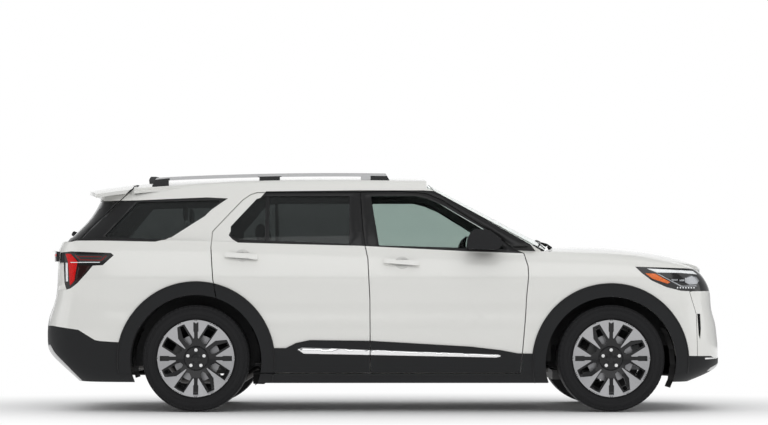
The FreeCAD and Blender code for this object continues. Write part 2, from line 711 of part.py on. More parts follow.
def body_side():
    """The left body side: sill, pillars, cant rail and rear quarter, with the door openings."""
    front_axis, rear_axis = hinge_axis(size("front_hinge_x")), hinge_axis(size("rear_hinge_x"))
    doors = [side_prism(grown(side_points(s), GAP / 2)) for s in (FRONT_DOOR_SHARES, REAR_DOOR_SHARES)]
    arch = arch_disc(REAR_AXLE_X, size("arch_radius"))
    ring = size("door_skin_thick") + size("layer_gap")
    gate = gate_tools(GAP)
    outer = thick_skin(BAND, 0, SKIN).common(side_prism(side_points(SKIN_SPAN_SHARES)))
    back = thick_skin(BAND, SKIN - SEAT_GAP, ring).common(side_prism(side_points(INNER_SPAN_SHARES)))
    outer = cut_all(outer.fuse(back), doors + [arch] + gate)
    others = (REAR_BUMPER_SHARES, REAR_VALANCE_SHARES, TAIL_LAMP_SHARES)
    outer = cut_all(outer, [side_prism(side_points(s)) for s in others])
    rest = thick_skin(BAND, SKIN + SEAT_GAP, size("ring_depth"))
    rest = rest.common(side_prism(side_points(FENDER_REST_SHARES)))
    belt_rail = thick_skin(BAND, SKIN - SEAT_GAP, size("ring_depth"))
    belt_rail = cut_all(belt_rail.common(side_prism(side_points(BELT_RAIL_SHARES))), doors + gate)
    inner = thick_skin(BAND, ring - SEAT_GAP, size("ring_depth"))
    inner = inner.common(side_prism(side_points(INNER_SPAN_SHARES)))
    openings = [side_prism(grown(side_points(s), size("inner_gap")))
                for s in (FRONT_DOOR_INNER_SHARES, REAR_DOOR_INNER_SHARES)]
    frame_room = size("inner_gap") * 2 / 3 - size("door_frame_inset") - GAP / 2
    frames = [side_prism(grown(side_points(s), frame_room)) for s in (FRONT_DOOR_SHARES, REAR_DOOR_SHARES)]
    above_belt = side_prism(side_points(ABOVE_BELT_SHARES))
    openings += [frame.common(above_belt) for frame in frames]
    flange_back = size("door_flange_thick") + size("layer_gap")
    flange_room = thick_skin(CABIN, -OVERRUN, flange_back)
    openings += [flange_room.common(door) for door in doors]
    inner = cut_all(inner, openings + [arch_disc(REAR_AXLE_X, size("arch_trim_radius"))])
    span = side_prism(side_points(CABIN_SPAN_OUTLINE_SHARES))
    screen = side_prism(side_points(SCREEN_SIDE_SHARES))
    rail = thick_skin(CABIN, 0, size("cabin_ring_depth")).common(span)
    rail = cut_all(rail, doors + gate + [screen])
    back_rail = thick_skin(CABIN, flange_back, size("cabin_ring_depth")).common(span)
    belt_room = thick_skin(BAND, -OVERRUN, ring)
    back_rail = cut_all(back_rail, frames + gate + [screen] + [belt_room.common(door) for door in doors])
    ledge = thick_skin(ROOF, SKIN + SEAT_GAP, 2 * SKIN).common(plan_prism(ROOF_LEDGE_SHARES))
    side = outer.fuse([rest, belt_rail, inner, rail, back_rail, ledge])
    quarter = side_prism(side_points(QUARTER_WINDOW_SHARES), size("glass_lap"))
    side = cut_all(side, [quarter, glass_layer(QUARTER_WINDOW_SHARES, SEAT_GAP), screen_layer(SEAT_GAP)])
    wing = thick_skin(BAND, -OVERRUN, SKIN + SEAT_GAP).common(side_prism(side_points(FENDER_SHARES)))
    swings = hinge_swing(front_axis, FRONT_SWING_SHARES) + hinge_swing(rear_axis, REAR_SWING_SHARES)
    side = cut_all(side, swings + [wing])
    side = side.cut(plan_prism(ROOF_PLAN_SHARES, SEAT_GAP).common(thick_skin(ROOF, -OVERRUN, SKIN + SEAT_GAP)))
    return side.fuse(hinge_pins(front_axis) + hinge_pins(rear_axis))


def fender():
    """The left front fender, from the door to the bumper."""
    skin = thick_skin(BAND, 0, SKIN).common(side_prism(side_points(FENDER_SHARES)))
    tools = [side_prism(grown(side_points(FRONT_DOOR_SHARES), GAP / 2)),
             side_prism(grown(side_points(FRONT_BUMPER_SHARES), GAP / 2)),
             side_prism(side_points(HEAD_LAMP_SHARES)), side_prism(side_points(FRONT_VALANCE_SHARES)),
             plan_prism(symmetric(HOOD_HALF_SHARES), GAP / 2), arch_disc(FRONT_AXLE_X, size("arch_radius"))]
    return cut_all(skin, tools)


def front_clip():
    """Front bumper, valance, lamps and grille, as separate shapes."""
    start, end = station(-0.5), LENGTH
    grille_space = front_prism(GRILLE_SHARES, start, end)
    lamp_space = side_prism(side_points(HEAD_LAMP_SHARES))
    bumper_space = side_prism(side_points(FRONT_BUMPER_SHARES))
    valance_space = side_prism(side_points(FRONT_VALANCE_SHARES))
    skin = thick_skin(BAND, 0, SKIN)
    arch = arch_disc(FRONT_AXLE_X, size("arch_radius"))
    hood = plan_prism(symmetric(HOOD_HALF_SHARES), GAP / 2)
    bumper = cut_all(skin.common(bumper_space), [grille_space, lamp_space, valance_space])
    valance = cut_all(skin.common(valance_space), [arch])
    lamp = thick_skin(BAND, 0, size("lamp_depth")).common(lamp_space)
    lamp = cut_all(lamp, [grille_space, hood])
    grille = thick_skin(BAND, SKIN / 2, SKIN * 2).common(grille_space)
    grille = cut_all(grille, [hood])
    return {"front_bumper": full(bumper), "front_valance": full(valance), "headlamps": both_sides(lamp),
            "grille": full(grille)}


def rear_clip():
    """Rear bumper, valance and lamps, as separate shapes."""
    gate = gate_tools(GAP)
    lamp_space = side_prism(side_points(TAIL_LAMP_SHARES))
    bumper_space = side_prism(side_points(REAR_BUMPER_SHARES))
    valance_space = side_prism(side_points(REAR_VALANCE_SHARES))
    arch = arch_disc(REAR_AXLE_X, size("arch_radius"))
    skin = thick_skin(BAND, 0, SKIN)
    bumper = cut_all(skin.common(bumper_space), gate + [lamp_space, valance_space, arch])
    valance = cut_all(skin.common(valance_space), [arch])
    lamp = cut_all(thick_skin(BAND, 0, size("lamp_depth")).common(lamp_space), gate)
    return {"rear_bumper": full(bumper), "rear_valance": full(valance), "tail_lamps": both_sides(lamp)}


def gate_glass(spare=0):
    """The rear window's left half, or with a spare the groove that it sits in."""
    depth, thick = size("glass_depth"), size("glass_thick")
    layer = thick_skin(CABIN, depth - spare, depth + thick + spare)
    return layer.common(front_prism(GATE_GLASS_SHARES, -LENGTH, station(1.5), size("glass_lap") + spare,
                                    size("glass_lap") * 4))


def roof_panel():
    """The roof's skin between the screen and the gate."""
    return thick_skin(ROOF, 0, SKIN).common(plan_prism(ROOF_PLAN_SHARES))


# Hinges of the hood and the gate


def cross_hinge(x, z, y_centre, toward):
    """A hinge along Y: the moving barrel with its arm, and the fixed pin with its two leaves.

    toward is the place that the fixed leaves reach to.
    """
    radius, bore = size("hinge_radius"), size("pin_radius") + size("pin_clearance")
    half, height = size("hinge_length") / 2, size("hinge_leaf_height")
    middle = Vector(x, y_centre, z)
    side = Vector(0, half, 0)
    barrel = tube(middle - side, middle + side, radius, bore)
    leaf = size("hinge_leaf_thick")
    fixed = [rod(middle - side * ((half + height) / half), middle + side * ((half + height) / half),
                 size("pin_radius"))]
    for sign in (-1, 1):
        near = y_centre + sign * (half + SEAT_GAP)
        low, high = sorted((near, near + sign * height))
        span = toward - middle
        across = Vector(-span.z, 0, span.x).normalize() * (leaf / 2)
        start = middle - span.normalize() * size("pin_radius")
        corners = [start + across, toward + across, toward - across, start - across]
        corners = [Vector(c.x, 0, c.z) for c in corners]
        fixed.append(prism(corners, low, high))
    return barrel, fixed


HOOD_HINGE_Y_SHARE = 0.70
HOOD_ARM_SHARES = (0.10, 0.05, 0.02)
HOOD_NECK_SHARES = [(0.0, -1.0), (0.0, 1.0), (7.5, -2.6), (15.5, -2.6)]
HOOD_NECK_BACK_SHARES = [(15.5, -4.6), (7.0, -4.6)]
GATE_HINGE_Y_SHARE = 0.36


def hood_assembly():
    """The hood with its hinge arms, and the pins that the body carries."""
    panel = thick_skin(HOOD, 0, size("hood_thick")).common(plan_prism(symmetric(HOOD_HALF_SHARES), -GAP / 2))
    x, z = size("hood_hinge_x"), size("hood_hinge_z")
    radius, half = size("hinge_radius"), size("hinge_length") / 2
    moving, fixed = [], []
    for side in (-1, 1):
        y = side * HOOD_HINGE_Y_SHARE * HALF_WIDTH
        barrel, pins = cross_hinge(x, z, y, Vector(x, y, z - 7 * radius))
        near, top, tip = [station(u) for u in HOOD_ARM_SHARES]
        corners = [Vector(x + a * radius, 0, z + b * radius) for a, b in HOOD_NECK_SHARES]
        corners += [Vector(near, 0, z + 2 * radius), Vector(top, 0, z + 5 * radius),
                    Vector(tip, 0, z + 2 * radius), Vector(near, 0, z)]
        corners += [Vector(x + a * radius, 0, z + b * radius) for a, b in HOOD_NECK_BACK_SHARES]
        arm = prism(corners, y - half / 2, y + half / 2)
        arm = arm.cut(rod(Vector(x, y - half, z), Vector(x, y + half, z), radius - SEAT_GAP))
        moving += [barrel, arm]
        fixed += pins
    return panel.fuse(moving), fixed


def roof_z(x, y):
    """The height of the roof's skin at a place in the plan."""
    ray = Part.makeLine(Vector(x, y, 0), Vector(x, y, 2 * HEIGHT))
    return thick_skin(ROOF, 0, SKIN).common(ray).BoundBox.ZMax


def gate_axis():
    """Where the gate's hinge axis lies, in the side view: just under the roof's skin."""
    x = station(GATE_UPPER_SHARES[0][0]) - size("hinge_radius") - SEAT_GAP
    return x, roof_z(x, GATE_HINGE_Y_SHARE * HALF_WIDTH) - size("gate_hinge_depth")


def gate_assembly():
    """The gate with its hinge barrels, and the pins that the roof's end carries."""
    thick = size("gate_thick")
    upper_space, lower_space = gate_tools()
    lower = thick_skin(BAND, 0, thick).common(lower_space)
    frame = thick_skin(CABIN, 0, thick).common(upper_space)
    window = front_prism(GATE_GLASS_SHARES, -LENGTH, station(1.5), 0, size("glass_lap") * 4)
    frame = frame.cut(window).cut(gate_glass(SEAT_GAP))
    spoiler = thick_skin(ROOF, 0, size("hood_thick")).common(upper_space)
    spoiler = spoiler.common(plan_prism(symmetric(SPOILER_HALF_SHARES)))
    panel = full(lower).fuse([full(frame), spoiler])
    x, z = gate_axis()
    radius, half = size("hinge_radius"), size("hinge_length") / 2
    reach = half + size("hinge_leaf_height") + size("moving_clearance")
    fixed = []
    for side in (-1, 1):
        y = side * GATE_HINGE_Y_SHARE * HALF_WIDTH
        barrel, pins = cross_hinge(x, z, y, Vector(x + 5 * radius, y, z - radius))
        behind = x - radius - size("moving_clearance")
        notch = box(behind, x + OVERRUN, y - reach, y + reach, z - OVERRUN, z + OVERRUN)
        arm = box(x - 3 * radius, x, y - half, y + half, z - radius, z + radius)
        bore = rod(Vector(x, y - reach, z), Vector(x, y + reach, z), size("pin_radius") + size("pin_clearance"))
        panel = panel.cut(notch).fuse([barrel, arm]).cut(bore)
        fixed += pins
    return panel, fixed


# Wheels and running gear

RIM_BARREL_SHARES = [
    (0.50, 1.0), (0.46, 1.0), (0.425, 0.945), (0.25, 0.905), (0.10, 0.845), (-0.25, 0.845),
    (-0.425, 0.925), (-0.46, 1.0), (-0.50, 1.0), (-0.47, 0.90), (-0.27, 0.81), (0.12, 0.81),
    (0.27, 0.87), (0.46, 0.895), (0.50, 0.96),
]
RIM_FACE_SHARES = [
    (0.40, 0.91), (0.43, 0.90), (0.415, 0.86), (0.375, 0.50), (0.33, 0.32), (0.36, 0.29), (0.36, 0.0),
    (0.20, 0.0), (0.20, 0.24), (0.27, 0.34), (0.29, 0.60), (0.31, 0.91),
]
RIM_PAD_SHARES = [
    (0.505, 0.985), (0.488, 0.86), (0.44, 0.50), (0.405, 0.24), (0.33, 0.24), (0.35, 0.50), (0.38, 0.86),
    (0.47, 0.985),
]
PAD_SHARES = [
    [(0.066, 1.0), (0.36, 1.0), (0.334, 0.916), (0.062, 0.500), (0.048, 0.54), (0.048, 0.68), (0.066, 0.69)],
    [(0.597, 0.784), (0.70, 0.92), (1.0, 0.60), (0.850, 0.484), (0.503, 0.456), (0.212, 0.240)],
    [(0.934, 0.334), (1.02, 0.36), (1.0, 0.066), (0.69, 0.066), (0.68, 0.048), (0.54, 0.048), (0.500, 0.062)],
]
WINDOW_SHARES = [
    [(0.325, 0.845), (0.525, 0.735), (0.262, 0.365), (0.175, 0.375), (0.118, 0.500)],
    [(0.335, 0.160), (0.365, 0.225), (0.520, 0.335), (0.800, 0.415), (0.860, 0.345), (0.500, 0.135),
     (0.405, 0.108)],
]
QUARTERS = 4
LUGS = 5
CAP_SHARES = [(0.30, 0.0), (0.30, 0.125), (0.385, 0.125), (0.40, 0.10), (0.405, 0.0)]
TYRE_OUTER_SHARES = [
    (-0.375, 0.689), (-0.40, 0.730), (-0.447, 0.745), (-0.478, 0.775), (-0.495, 0.815), (-0.50, 0.860),
    (-0.495, 0.905), (-0.482, 0.943), (-0.455, 0.972), (-0.41, 0.988), (-0.25, 0.998), (0.0, 1.0),
]
TYRE_INNER_SHARES = [(-0.31, 0.689), (-0.335, 0.75), (-0.42, 0.82), (-0.42, 0.88), (-0.34, 0.94), (0.0, 0.953)]


def turned(points, centre, along=Vector(0, 1, 0)):
    """A closed profile turned about an axis through a centre. Points are (along the axis, radius)."""
    corners = [centre + along * a + Vector(0, 0, r) for a, r in points]
    face = Part.Face(Part.makePolygon(corners + corners[:1]))
    return face.revolve(centre, along, 360)


def spun(points, centre, angle):
    """Side-view points turned about a wheel's centre."""
    turn = FreeCAD.Rotation(Vector(0, 1, 0), angle)
    return [centre + turn.multVec(p) for p in points]


def rim(centre):
    """A left wheel's rim: barrel, pierced dish, raised wedge faces, cap and lugs."""
    radius, width = size("rim_radius"), size("rim_width")
    barrel = turned([(a * width, r * radius) for a, r in RIM_BARREL_SHARES], centre)
    dish = turned([(a * width, r * radius) for a, r in RIM_FACE_SHARES], centre)
    layer = turned([(a * width, r * radius) for a, r in RIM_PAD_SHARES], centre)
    flat = Vector(centre.x, 0, centre.z)
    windows, pads = [], []
    for k in range(QUARTERS):
        for shares, made in [(s, windows) for s in WINDOW_SHARES] + [(s, pads) for s in PAD_SHARES]:
            points = spun([Vector(a * radius, 0, b * radius) for a, b in shares], flat, k * 360 / QUARTERS)
            made.append(prism(points, centre.y, centre.y + width, radius * 0.01))
    dish = dish.cut(windows)
    cap = turned([(a * width, r * radius) for a, r in CAP_SHARES], centre)
    lugs = []
    for k in range(LUGS):
        angle = math.radians(k * 360 / LUGS + 90)
        reach = size("lug_circle_radius")
        foot = centre + Vector(math.cos(angle) * reach, width * RIM_FACE_SHARES[6][0] - SEAT_GAP,
                               math.sin(angle) * reach)
        lugs.append(rod(foot, foot + Vector(0, 2 * size("lug_radius"), 0), size("lug_radius")))
    return barrel.fuse([dish, cap] + [layer.common(pad) for pad in pads] + lugs)


def tyre(centre):
    """A tyre: a hollow carcass that grips the rim's two seats."""
    radius, width = size("tyre_radius"), size("tyre_width")
    outer = TYRE_OUTER_SHARES + [(-a, r) for a, r in reversed(TYRE_OUTER_SHARES[:-1])]
    inner = TYRE_INNER_SHARES + [(-a, r) for a, r in reversed(TYRE_INNER_SHARES[:-1])]
    return turned([(a * width, r * radius) for a, r in outer + inner[::-1]], centre)


def brake_disc(centre):
    """A brake disc and its hat, against the back of the rim's hub."""
    back = centre.y + size("rim_width") * RIM_FACE_SHARES[7][0] - SEAT_GAP
    hub, thick = size("hub_radius"), size("disc_thick")
    points = [(back, 0), (back, hub), (back - 1.5 * thick, hub), (back - 1.5 * thick, size("disc_radius")),
              (back - 2.5 * thick, size("disc_radius")), (back - 2.5 * thick, 0)]
    return turned([(a - centre.y, r) for a, r in points], centre)


KNUCKLE_ARM_SHARES = [(-0.85, 0.40), (0.20, 0.45), (0.30, -0.42), (-0.30, -0.42), (-0.85, 0.05)]
CALIPER_SHARES = (25, 80)


def knuckle(centre):
    """A left knuckle: the hub carrier, its upright and the caliper over the disc's front edge."""
    back = centre.y + size("rim_width") * RIM_FACE_SHARES[7][0] - 2.5 * size("disc_thick") - 2 * SEAT_GAP
    reach = size("hub_radius")
    carrier = rod(Vector(centre.x, back, centre.z), Vector(centre.x, back - reach, centre.z), reach)
    radius = size("disc_radius")
    points = [Vector(centre.x + a * radius, 0, centre.z + b * radius) for a, b in KNUCKLE_ARM_SHARES]
    upright = prism(points, back - size("hub_radius"), back - size("hub_radius") / 3)
    return carrier.fuse([upright] + caliper(centre))


def caliper(centre):
    """A caliper over a disc's edge, as the pieces to fuse to what carries it."""
    back = centre.y + size("rim_width") * RIM_FACE_SHARES[7][0]
    thick, radius = size("disc_thick"), size("disc_radius")
    inner = back - 2.5 * thick - size("hub_radius")
    outer = back - 1.5 * thick + thick * 0.75
    start, end = CALIPER_SHARES
    corners = []
    for r, angles in ((0.62 * radius, (start, end)), (1.16 * radius, (end, start))):
        for angle in angles:
            a = math.radians(angle + 100)
            corners.append(Vector(centre.x + r * math.cos(a), 0, centre.z + r * math.sin(a)))
    body = prism(corners, inner, outer)
    slot = rod(Vector(centre.x, back - 2.5 * thick - thick / 6, centre.z),
               Vector(centre.x, back - 1.5 * thick + thick / 6, centre.z), 1.04 * radius)
    return [body.cut(slot)]


# Structure under the skin

FLOOR_SHARES = [
    (0.17, 0.86, -0.92, 0.92, 0.187, 0.198), (0.85, 0.905, -0.66, 0.66, 0.187, 0.198),
    (0.885, 0.905, -0.66, 0.66, 0.187, 0.283), (0.885, 1.84, -0.66, 0.66, 0.272, 0.283),
    (0.17, 0.1829, -0.80, 0.80, 0.187, 0.625), (1.82, 1.86, -0.66, 0.66, 0.22, 0.375),
    (1.20, 1.74, -0.60, 0.60, 0.283, 0.289),
]
SIDE_MEMBER_SHARES = [
    (-0.94, 0.18, 0.30, 0.38, 0.272, 0.325), (0.885, 1.93, 0.40, 0.48, 0.235, 0.273),
    (-0.55, 0.175, 0.44, 0.455, 0.27, 0.50), (-0.84, -0.80, 0.0, 0.50, 0.26, 0.515),
]
WHEEL_HOUSE_SHARES = (0.672, 0.686, 0.93)
PAN_SIDE_SHARES = [(-0.5, 0.1), (-0.5, 0.72), (0.90, 0.72), (0.90, 0.1)]


def floor_pan():
    """Floor, firewall, side members, rear wheel houses and both bumper beams."""
    solids = [block(s) for s in FLOOR_SHARES]
    solids += [block(s) for s in SIDE_MEMBER_SHARES]
    solids += [mirrored(block(s)) for s in SIDE_MEMBER_SHARES]
    wall, inner, outer = [share * HALF_WIDTH for share in WHEEL_HOUSE_SHARES]
    radius = size("arch_radius")
    start = Vector(REAR_AXLE_X, wall, ARCH_Z[REAR_AXLE_X])
    house = rod(start, Vector(start.x, outer, start.z), radius + size("trim_thick"))
    house = house.cut(rod(Vector(start.x, inner, start.z), Vector(start.x, outer, start.z), radius))
    house = house.common(box(-LENGTH, 0, 0, HALF_WIDTH, size("floor_z"), HEIGHT))
    arms = rod(Vector(start.x, wall, WHEEL_Z), Vector(start.x, inner, WHEEL_Z), size("hub_radius") + SEAT_GAP)
    house = house.cut([arms, thick_skin(BAND, -OVERRUN, SKIN + SEAT_GAP)])
    solids += [house, mirrored(house)]
    pan = solids[0].fuse(solids[1:] + [front_beam(), rear_beam()])
    layer = thick_skin(BAND, 0, size("ring_depth") + SEAT_GAP)
    sides = layer.common(side_prism(side_points(PAN_SIDE_SHARES)))
    return cut_all(pan, [sides, mirrored(sides)])


def front_beam():
    """The beam behind the front bumper's skin."""
    beam = thick_skin(BAND, SKIN + SEAT_GAP, SKIN * 4)
    return full(beam.common(front_prism(BEAM_SHARES, station(-0.5), LENGTH)))


def rear_beam():
    """The beam behind the rear bumper's skin."""
    beam = thick_skin(BAND, SKIN + SEAT_GAP, SKIN * 4)
    return full(beam.common(front_prism(BEAM_SHARES, -LENGTH, station(1.5))))


COWL_SIDE_SHARES = [
    (0.1699, 0.59), (0.06, 0.59), (0.06, 0.605), (0.125, 0.655), (0.138, 0.668), (0.153, 0.665),
    (0.1699, 0.655),
]
COWL_REST_SHARES = [(0.156, 0.62), (0.142, 0.62), (0.142, 0.72), (0.156, 0.72)]
COWL_WIDTH_SHARE = 0.66


def cowl():
    """The panel between the hood and the windscreen, with the rest that the screen lies on."""
    width = COWL_WIDTH_SHARE * HALF_WIDTH
    panel = prism(side_points(COWL_SIDE_SHARES), -width, width)
    rest = thick_skin(screen_net(), size("glass_thick") + SEAT_GAP, 2 * OVERRUN)
    panel = panel.fuse(rest.common(prism(side_points(COWL_REST_SHARES), -width, width)))
    hood = thick_skin(HOOD, -OVERRUN, size("hood_thick") + size("moving_clearance"))
    return panel.cut(hood.common(plan_prism(symmetric(HOOD_HALF_SHARES), GAP)))


# Trims on the lower body

CLADDING_SHARES = [
    (0.90, 0.264), (0.783, 0.264), (0.759, 0.285), (0.725, 0.297), (0.581, 0.294), (0.338, 0.27),
    (0.268, 0.256), (0.224, 0.242), (0.15, 0.240), (0.15, 0.05), (0.90, 0.05),
]
ARCH_FOOT_SHARE = 0.16


def cladding():
    """The left side's lower trim before it is divided: both arches and the strip between them."""
    ring = thick_skin(BAND, -size("arch_trim_thick"), -SEAT_GAP)
    strip = thick_skin(BAND, -size("trim_thick"), -SEAT_GAP)
    inner, outer = size("arch_radius"), size("arch_trim_radius")
    openings = [arch_disc(x, inner) for x in (FRONT_AXLE_X, REAR_AXLE_X)]
    arches = [ring.common(arch_disc(x, outer)) for x in (FRONT_AXLE_X, REAR_AXLE_X)]
    lower = strip.common(side_prism(side_points(CLADDING_SHARES)))
    below = box(-LENGTH, LENGTH, 0, 2 * HALF_WIDTH, 0, ARCH_FOOT_SHARE * HEIGHT)
    arches = [a.cut(below) for a in arches]
    return cut_all(arches[0].fuse([arches[1], lower]), openings)


def door_trim(trim, outline_shares):
    """The part of the lower trim that a door carries."""
    return trim.common(side_prism(grown(side_points(outline_shares), -GAP / 2)))


def body_trim(trim):
    """The part of the lower trim that stays on the body."""
    outlines = (FRONT_DOOR_SHARES, REAR_DOOR_SHARES)
    return cut_all(trim, [side_prism(grown(side_points(s), GAP / 2)) for s in outlines])


HANDLE_SHARES = {
    "front": [(0.463, 0.604), (0.463, 0.624), (0.547, 0.635), (0.547, 0.615)],
    "rear": [(0.851, 0.629), (0.851, 0.650), (0.930, 0.661), (0.930, 0.640)],
}
HANDLE_OUT_SHARES = (0.036, 0.020)


def handle(shares):
    """A pull handle: a bar that stands off the skin on a foot at each end."""
    out, back = [share * HALF_WIDTH for share in HANDLE_OUT_SHARES]
    outline = side_points(shares)
    bar = thick_skin(BAND, -out, -back).common(side_prism(outline, size("trim_thick") / 2))
    feet = thick_skin(BAND, -back - SEAT_GAP, SEAT_GAP).common(side_prism(outline))
    low, high = min(p.x for p in outline), max(p.x for p in outline)
    foot = (high - low) / 7
    return bar.fuse(feet.cut(box(low + foot, high - foot, 0, 2 * HALF_WIDTH, 0, HEIGHT)))


MIRROR_SHARES = [
    (0.351, 0.672), (0.349, 0.709), (0.341, 0.737), (0.329, 0.754), (0.294, 0.748), (0.267, 0.713),
    (0.265, 0.688), (0.275, 0.668),
]
MIRROR_FOOT_SHARES = [(0.325, 0.672), (0.325, 0.700), (0.285, 0.700), (0.285, 0.672)]
MIRROR_ACROSS_SHARES = (0.86, 0.965, 1.13)


def mirror():
    """A left door mirror: its foot on the door's belt and its housing."""
    foot_y, near_y, far_y = [share * HALF_WIDTH for share in MIRROR_ACROSS_SHARES]
    housing = prism(side_points(MIRROR_SHARES), near_y, far_y, size("glass_lap") * 3)
    foot = prism(side_points(MIRROR_FOOT_SHARES), foot_y, near_y + SEAT_GAP)
    skins = [thick_skin(net, -SEAT_GAP, size("door_thick")) for net in (BAND, CABIN)]
    return cut_all(housing.fuse(foot), skins)


RAIL_PLAN_SHARES = [(0.532, 0.585), (0.532, 0.622), (1.306, 0.622), (1.306, 0.585)]
RAIL_SIDE_SHARES = [(0.532, 0.90), (0.532, 0.962), (0.548, 1.01), (1.25, 1.01), (1.306, 0.945), (1.306, 0.90)]
RAIL_FOOT_SHARES = [(0.532, 0.604), (0.803, 0.8535), (1.20, 1.306)]
RAIL_RISE_SHARES = (0.033, 0.022)


def roof_rail():
    """The left roof rail on its three feet."""
    top, under = [share * HEIGHT for share in RAIL_RISE_SHARES]
    bar = thick_skin(ROOF, -top, -under).common(plan_prism(RAIL_PLAN_SHARES))
    feet = thick_skin(ROOF, -under - SEAT_GAP, -SEAT_GAP).common(plan_prism(RAIL_PLAN_SHARES))
    feet = [feet.common(box(station(a), station(b), 0, HALF_WIDTH, 0, 2 * HEIGHT)) for a, b in RAIL_FOOT_SHARES]
    return bar.fuse(feet).common(side_prism(side_points(RAIL_SIDE_SHARES)))


FIN_SHARES = [(1.377, 0.985), (1.365, 0.999), (1.330, 0.999), (1.251, 0.986), (1.235, 0.95), (1.37, 0.95)]


def antenna():
    """The fin on the roof."""
    half = size("trim_thick") * 2
    fin = prism(side_points(FIN_SHARES), -half, half, size("trim_thick"))
    return fin.cut(thick_skin(ROOF, -SEAT_GAP, 2 * OVERRUN))


# Cabin

DASH_SHARES = [(0.183, 0.42), (0.183, 0.645), (0.205, 0.665), (0.255, 0.640), (0.265, 0.54), (0.24, 0.42)]
DASH_WIDTH_SHARE = 0.80
CONSOLE_SHARES = (0.25, 0.53, -0.12, 0.12, 0.1985, 0.40)
COLUMN_SHARES = (0.2, 1.1)
FRONT_SEAT_SHARES = [
    (0.405, 0.22), (0.395, 0.335), (0.42, 0.365), (0.53, 0.345), (0.568, 0.66), (0.568, 0.76),
    (0.575, 0.795), (0.592, 0.795), (0.600, 0.76), (0.598, 0.64), (0.578, 0.30), (0.565, 0.22),
]
SEAT_BASE_SHARES = [(0.43, 0.1985), (0.43, 0.23), (0.55, 0.23), (0.55, 0.1985)]
ROW_STEP_SHARES = (0.27, 0.53)
SEAT_ACROSS_SHARES = (0.15, 0.64)
THIRD_ROW_SHARES = (0.085, 0.55)


def seat(step_share, rise_share, y0, y1):
    """A seat across two width shares, moved back and up from the front one."""
    profile = [(u + step_share, z + rise_share) for u, z in FRONT_SEAT_SHARES]
    base = [(u + step_share, z + rise_share) for u, z in SEAT_BASE_SHARES]
    cushion = prism(side_points(profile), y0 * HALF_WIDTH, y1 * HALF_WIDTH, OVERRUN / 2)
    inset = OVERRUN / HALF_WIDTH
    foot = prism(side_points(base), (y0 + inset) * HALF_WIDTH, (y1 - inset) * HALF_WIDTH)
    return cushion.fuse(foot)


def dashboard():
    """The dashboard, its steering column and the console between the front seats."""
    width = DASH_WIDTH_SHARE * HALF_WIDTH
    dash = prism(side_points(DASH_SHARES), -width, width, OVERRUN / 3)
    centre, along = steering_axis()
    thick, length = [share * size("steering_wheel_radius") for share in COLUMN_SHARES]
    top = centre - along * (size("steering_rim_radius") + 2 * SEAT_GAP)
    return dash.fuse([block(CONSOLE_SHARES), rod(top, centre - along * length, thick)])


STEERING_SHARES = (0.3125, 0.37, 0.6205)
STEERING_TILT = 24


def steering_axis():
    """The steering wheel's centre and the direction of its column, up and back."""
    u, y, z = STEERING_SHARES
    tilt = math.radians(STEERING_TILT)
    return Vector(station(u), y * HALF_WIDTH, z * HEIGHT), Vector(-math.cos(tilt), 0, math.sin(tilt))


def steering_wheel():
    """The steering wheel: rim, hub and three spokes."""
    centre, along = steering_axis()
    radius, thick = size("steering_wheel_radius"), size("steering_rim_radius")
    ring = Part.makeTorus(radius, thick, centre, along)
    hub = rod(centre - along * (thick + SEAT_GAP), centre + along * thick, radius * 0.3)
    across = Vector(0, 1, 0)
    down = along.cross(across)
    down = down if down.z < 0 else down * -1
    spokes = [rod(centre, centre + d * radius, thick * 0.8) for d in (across, across * -1, down)]
    return ring.fuse([hub] + spokes)


# Masses and running gear under the body

ENGINE_SHARES = (-0.42, 0.10, -0.28, 0.28, 0.1652, 0.55)
TANK_SHARES = (0.56, 0.82, -0.30, 0.30, 0.13, 0.1865)
SUBFRAME_SHARES = (-0.13, 0.13, -0.42, 0.42, 0.125, 0.165)
FRONT_ARM_SHARES = [(-0.10, 0.36, 0.145), (0.10, 0.36, 0.145)]
FRONT_POST_SHARES = (-0.06, 0.06, 0.32, 0.36, 0.16, 0.272)
REAR_ARM_SHARES = [(0.95, 0.38, 0.17), (1.06, 0.38, 0.20)]
REAR_FRAME_SHARES = (0.93, 1.09, -0.42, 0.42, 0.15, 0.235)
MUFFLER_SHARES = (1.43, 1.69, -0.50, 0.35, 0.155, 0.22)
EXHAUST_Y_SHARE = 0.36
EXHAUST_SHARES = [(0.14, 0.1698), (0.86, 0.1698), (0.90, 0.125), (1.12, 0.125), (1.20, 0.185), (1.44, 0.185)]


def front_suspension():
    """The front subframe with its lower arms, out to a foot under each knuckle."""
    frame = block(SUBFRAME_SHARES)
    low = WHEEL_Z - size("hub_radius") - SEAT_GAP
    thick = size("hub_radius") / 3
    y = size("track") / 2 - size("steer_axis_inset")
    foot = rod(Vector(FRONT_AXLE_X, y, low - thick), Vector(FRONT_AXLE_X, y, low), thick)
    arms = []
    for u, across, z in FRONT_ARM_SHARES:
        root = Vector(station(u), across * HALF_WIDTH, z * HEIGHT)
        arms.append(rod(root, Vector(FRONT_AXLE_X, y, low - thick / 2), thick / 2))
    side = foot.fuse(arms)
    post = block(FRONT_POST_SHARES)
    return frame.fuse([side, mirrored(side), post, mirrored(post)])


def rear_suspension():
    """The rear carrier with its arms and hub carriers, which hold the rear calipers."""
    frame = block(REAR_FRAME_SHARES)
    centre = Vector(REAR_AXLE_X, size("track") / 2, WHEEL_Z)
    hub = knuckle(centre)
    arms = []
    for u, across, z in REAR_ARM_SHARES:
        start = Vector(station(u), across * HALF_WIDTH, z * HEIGHT)
        end = Vector(REAR_AXLE_X, size("track") / 2 - size("steer_axis_inset"), WHEEL_Z)
        arms.append(rod(start, end, size("hub_radius") / 4))
    side = hub.fuse(arms)
    return frame.fuse([side, mirrored(side)])


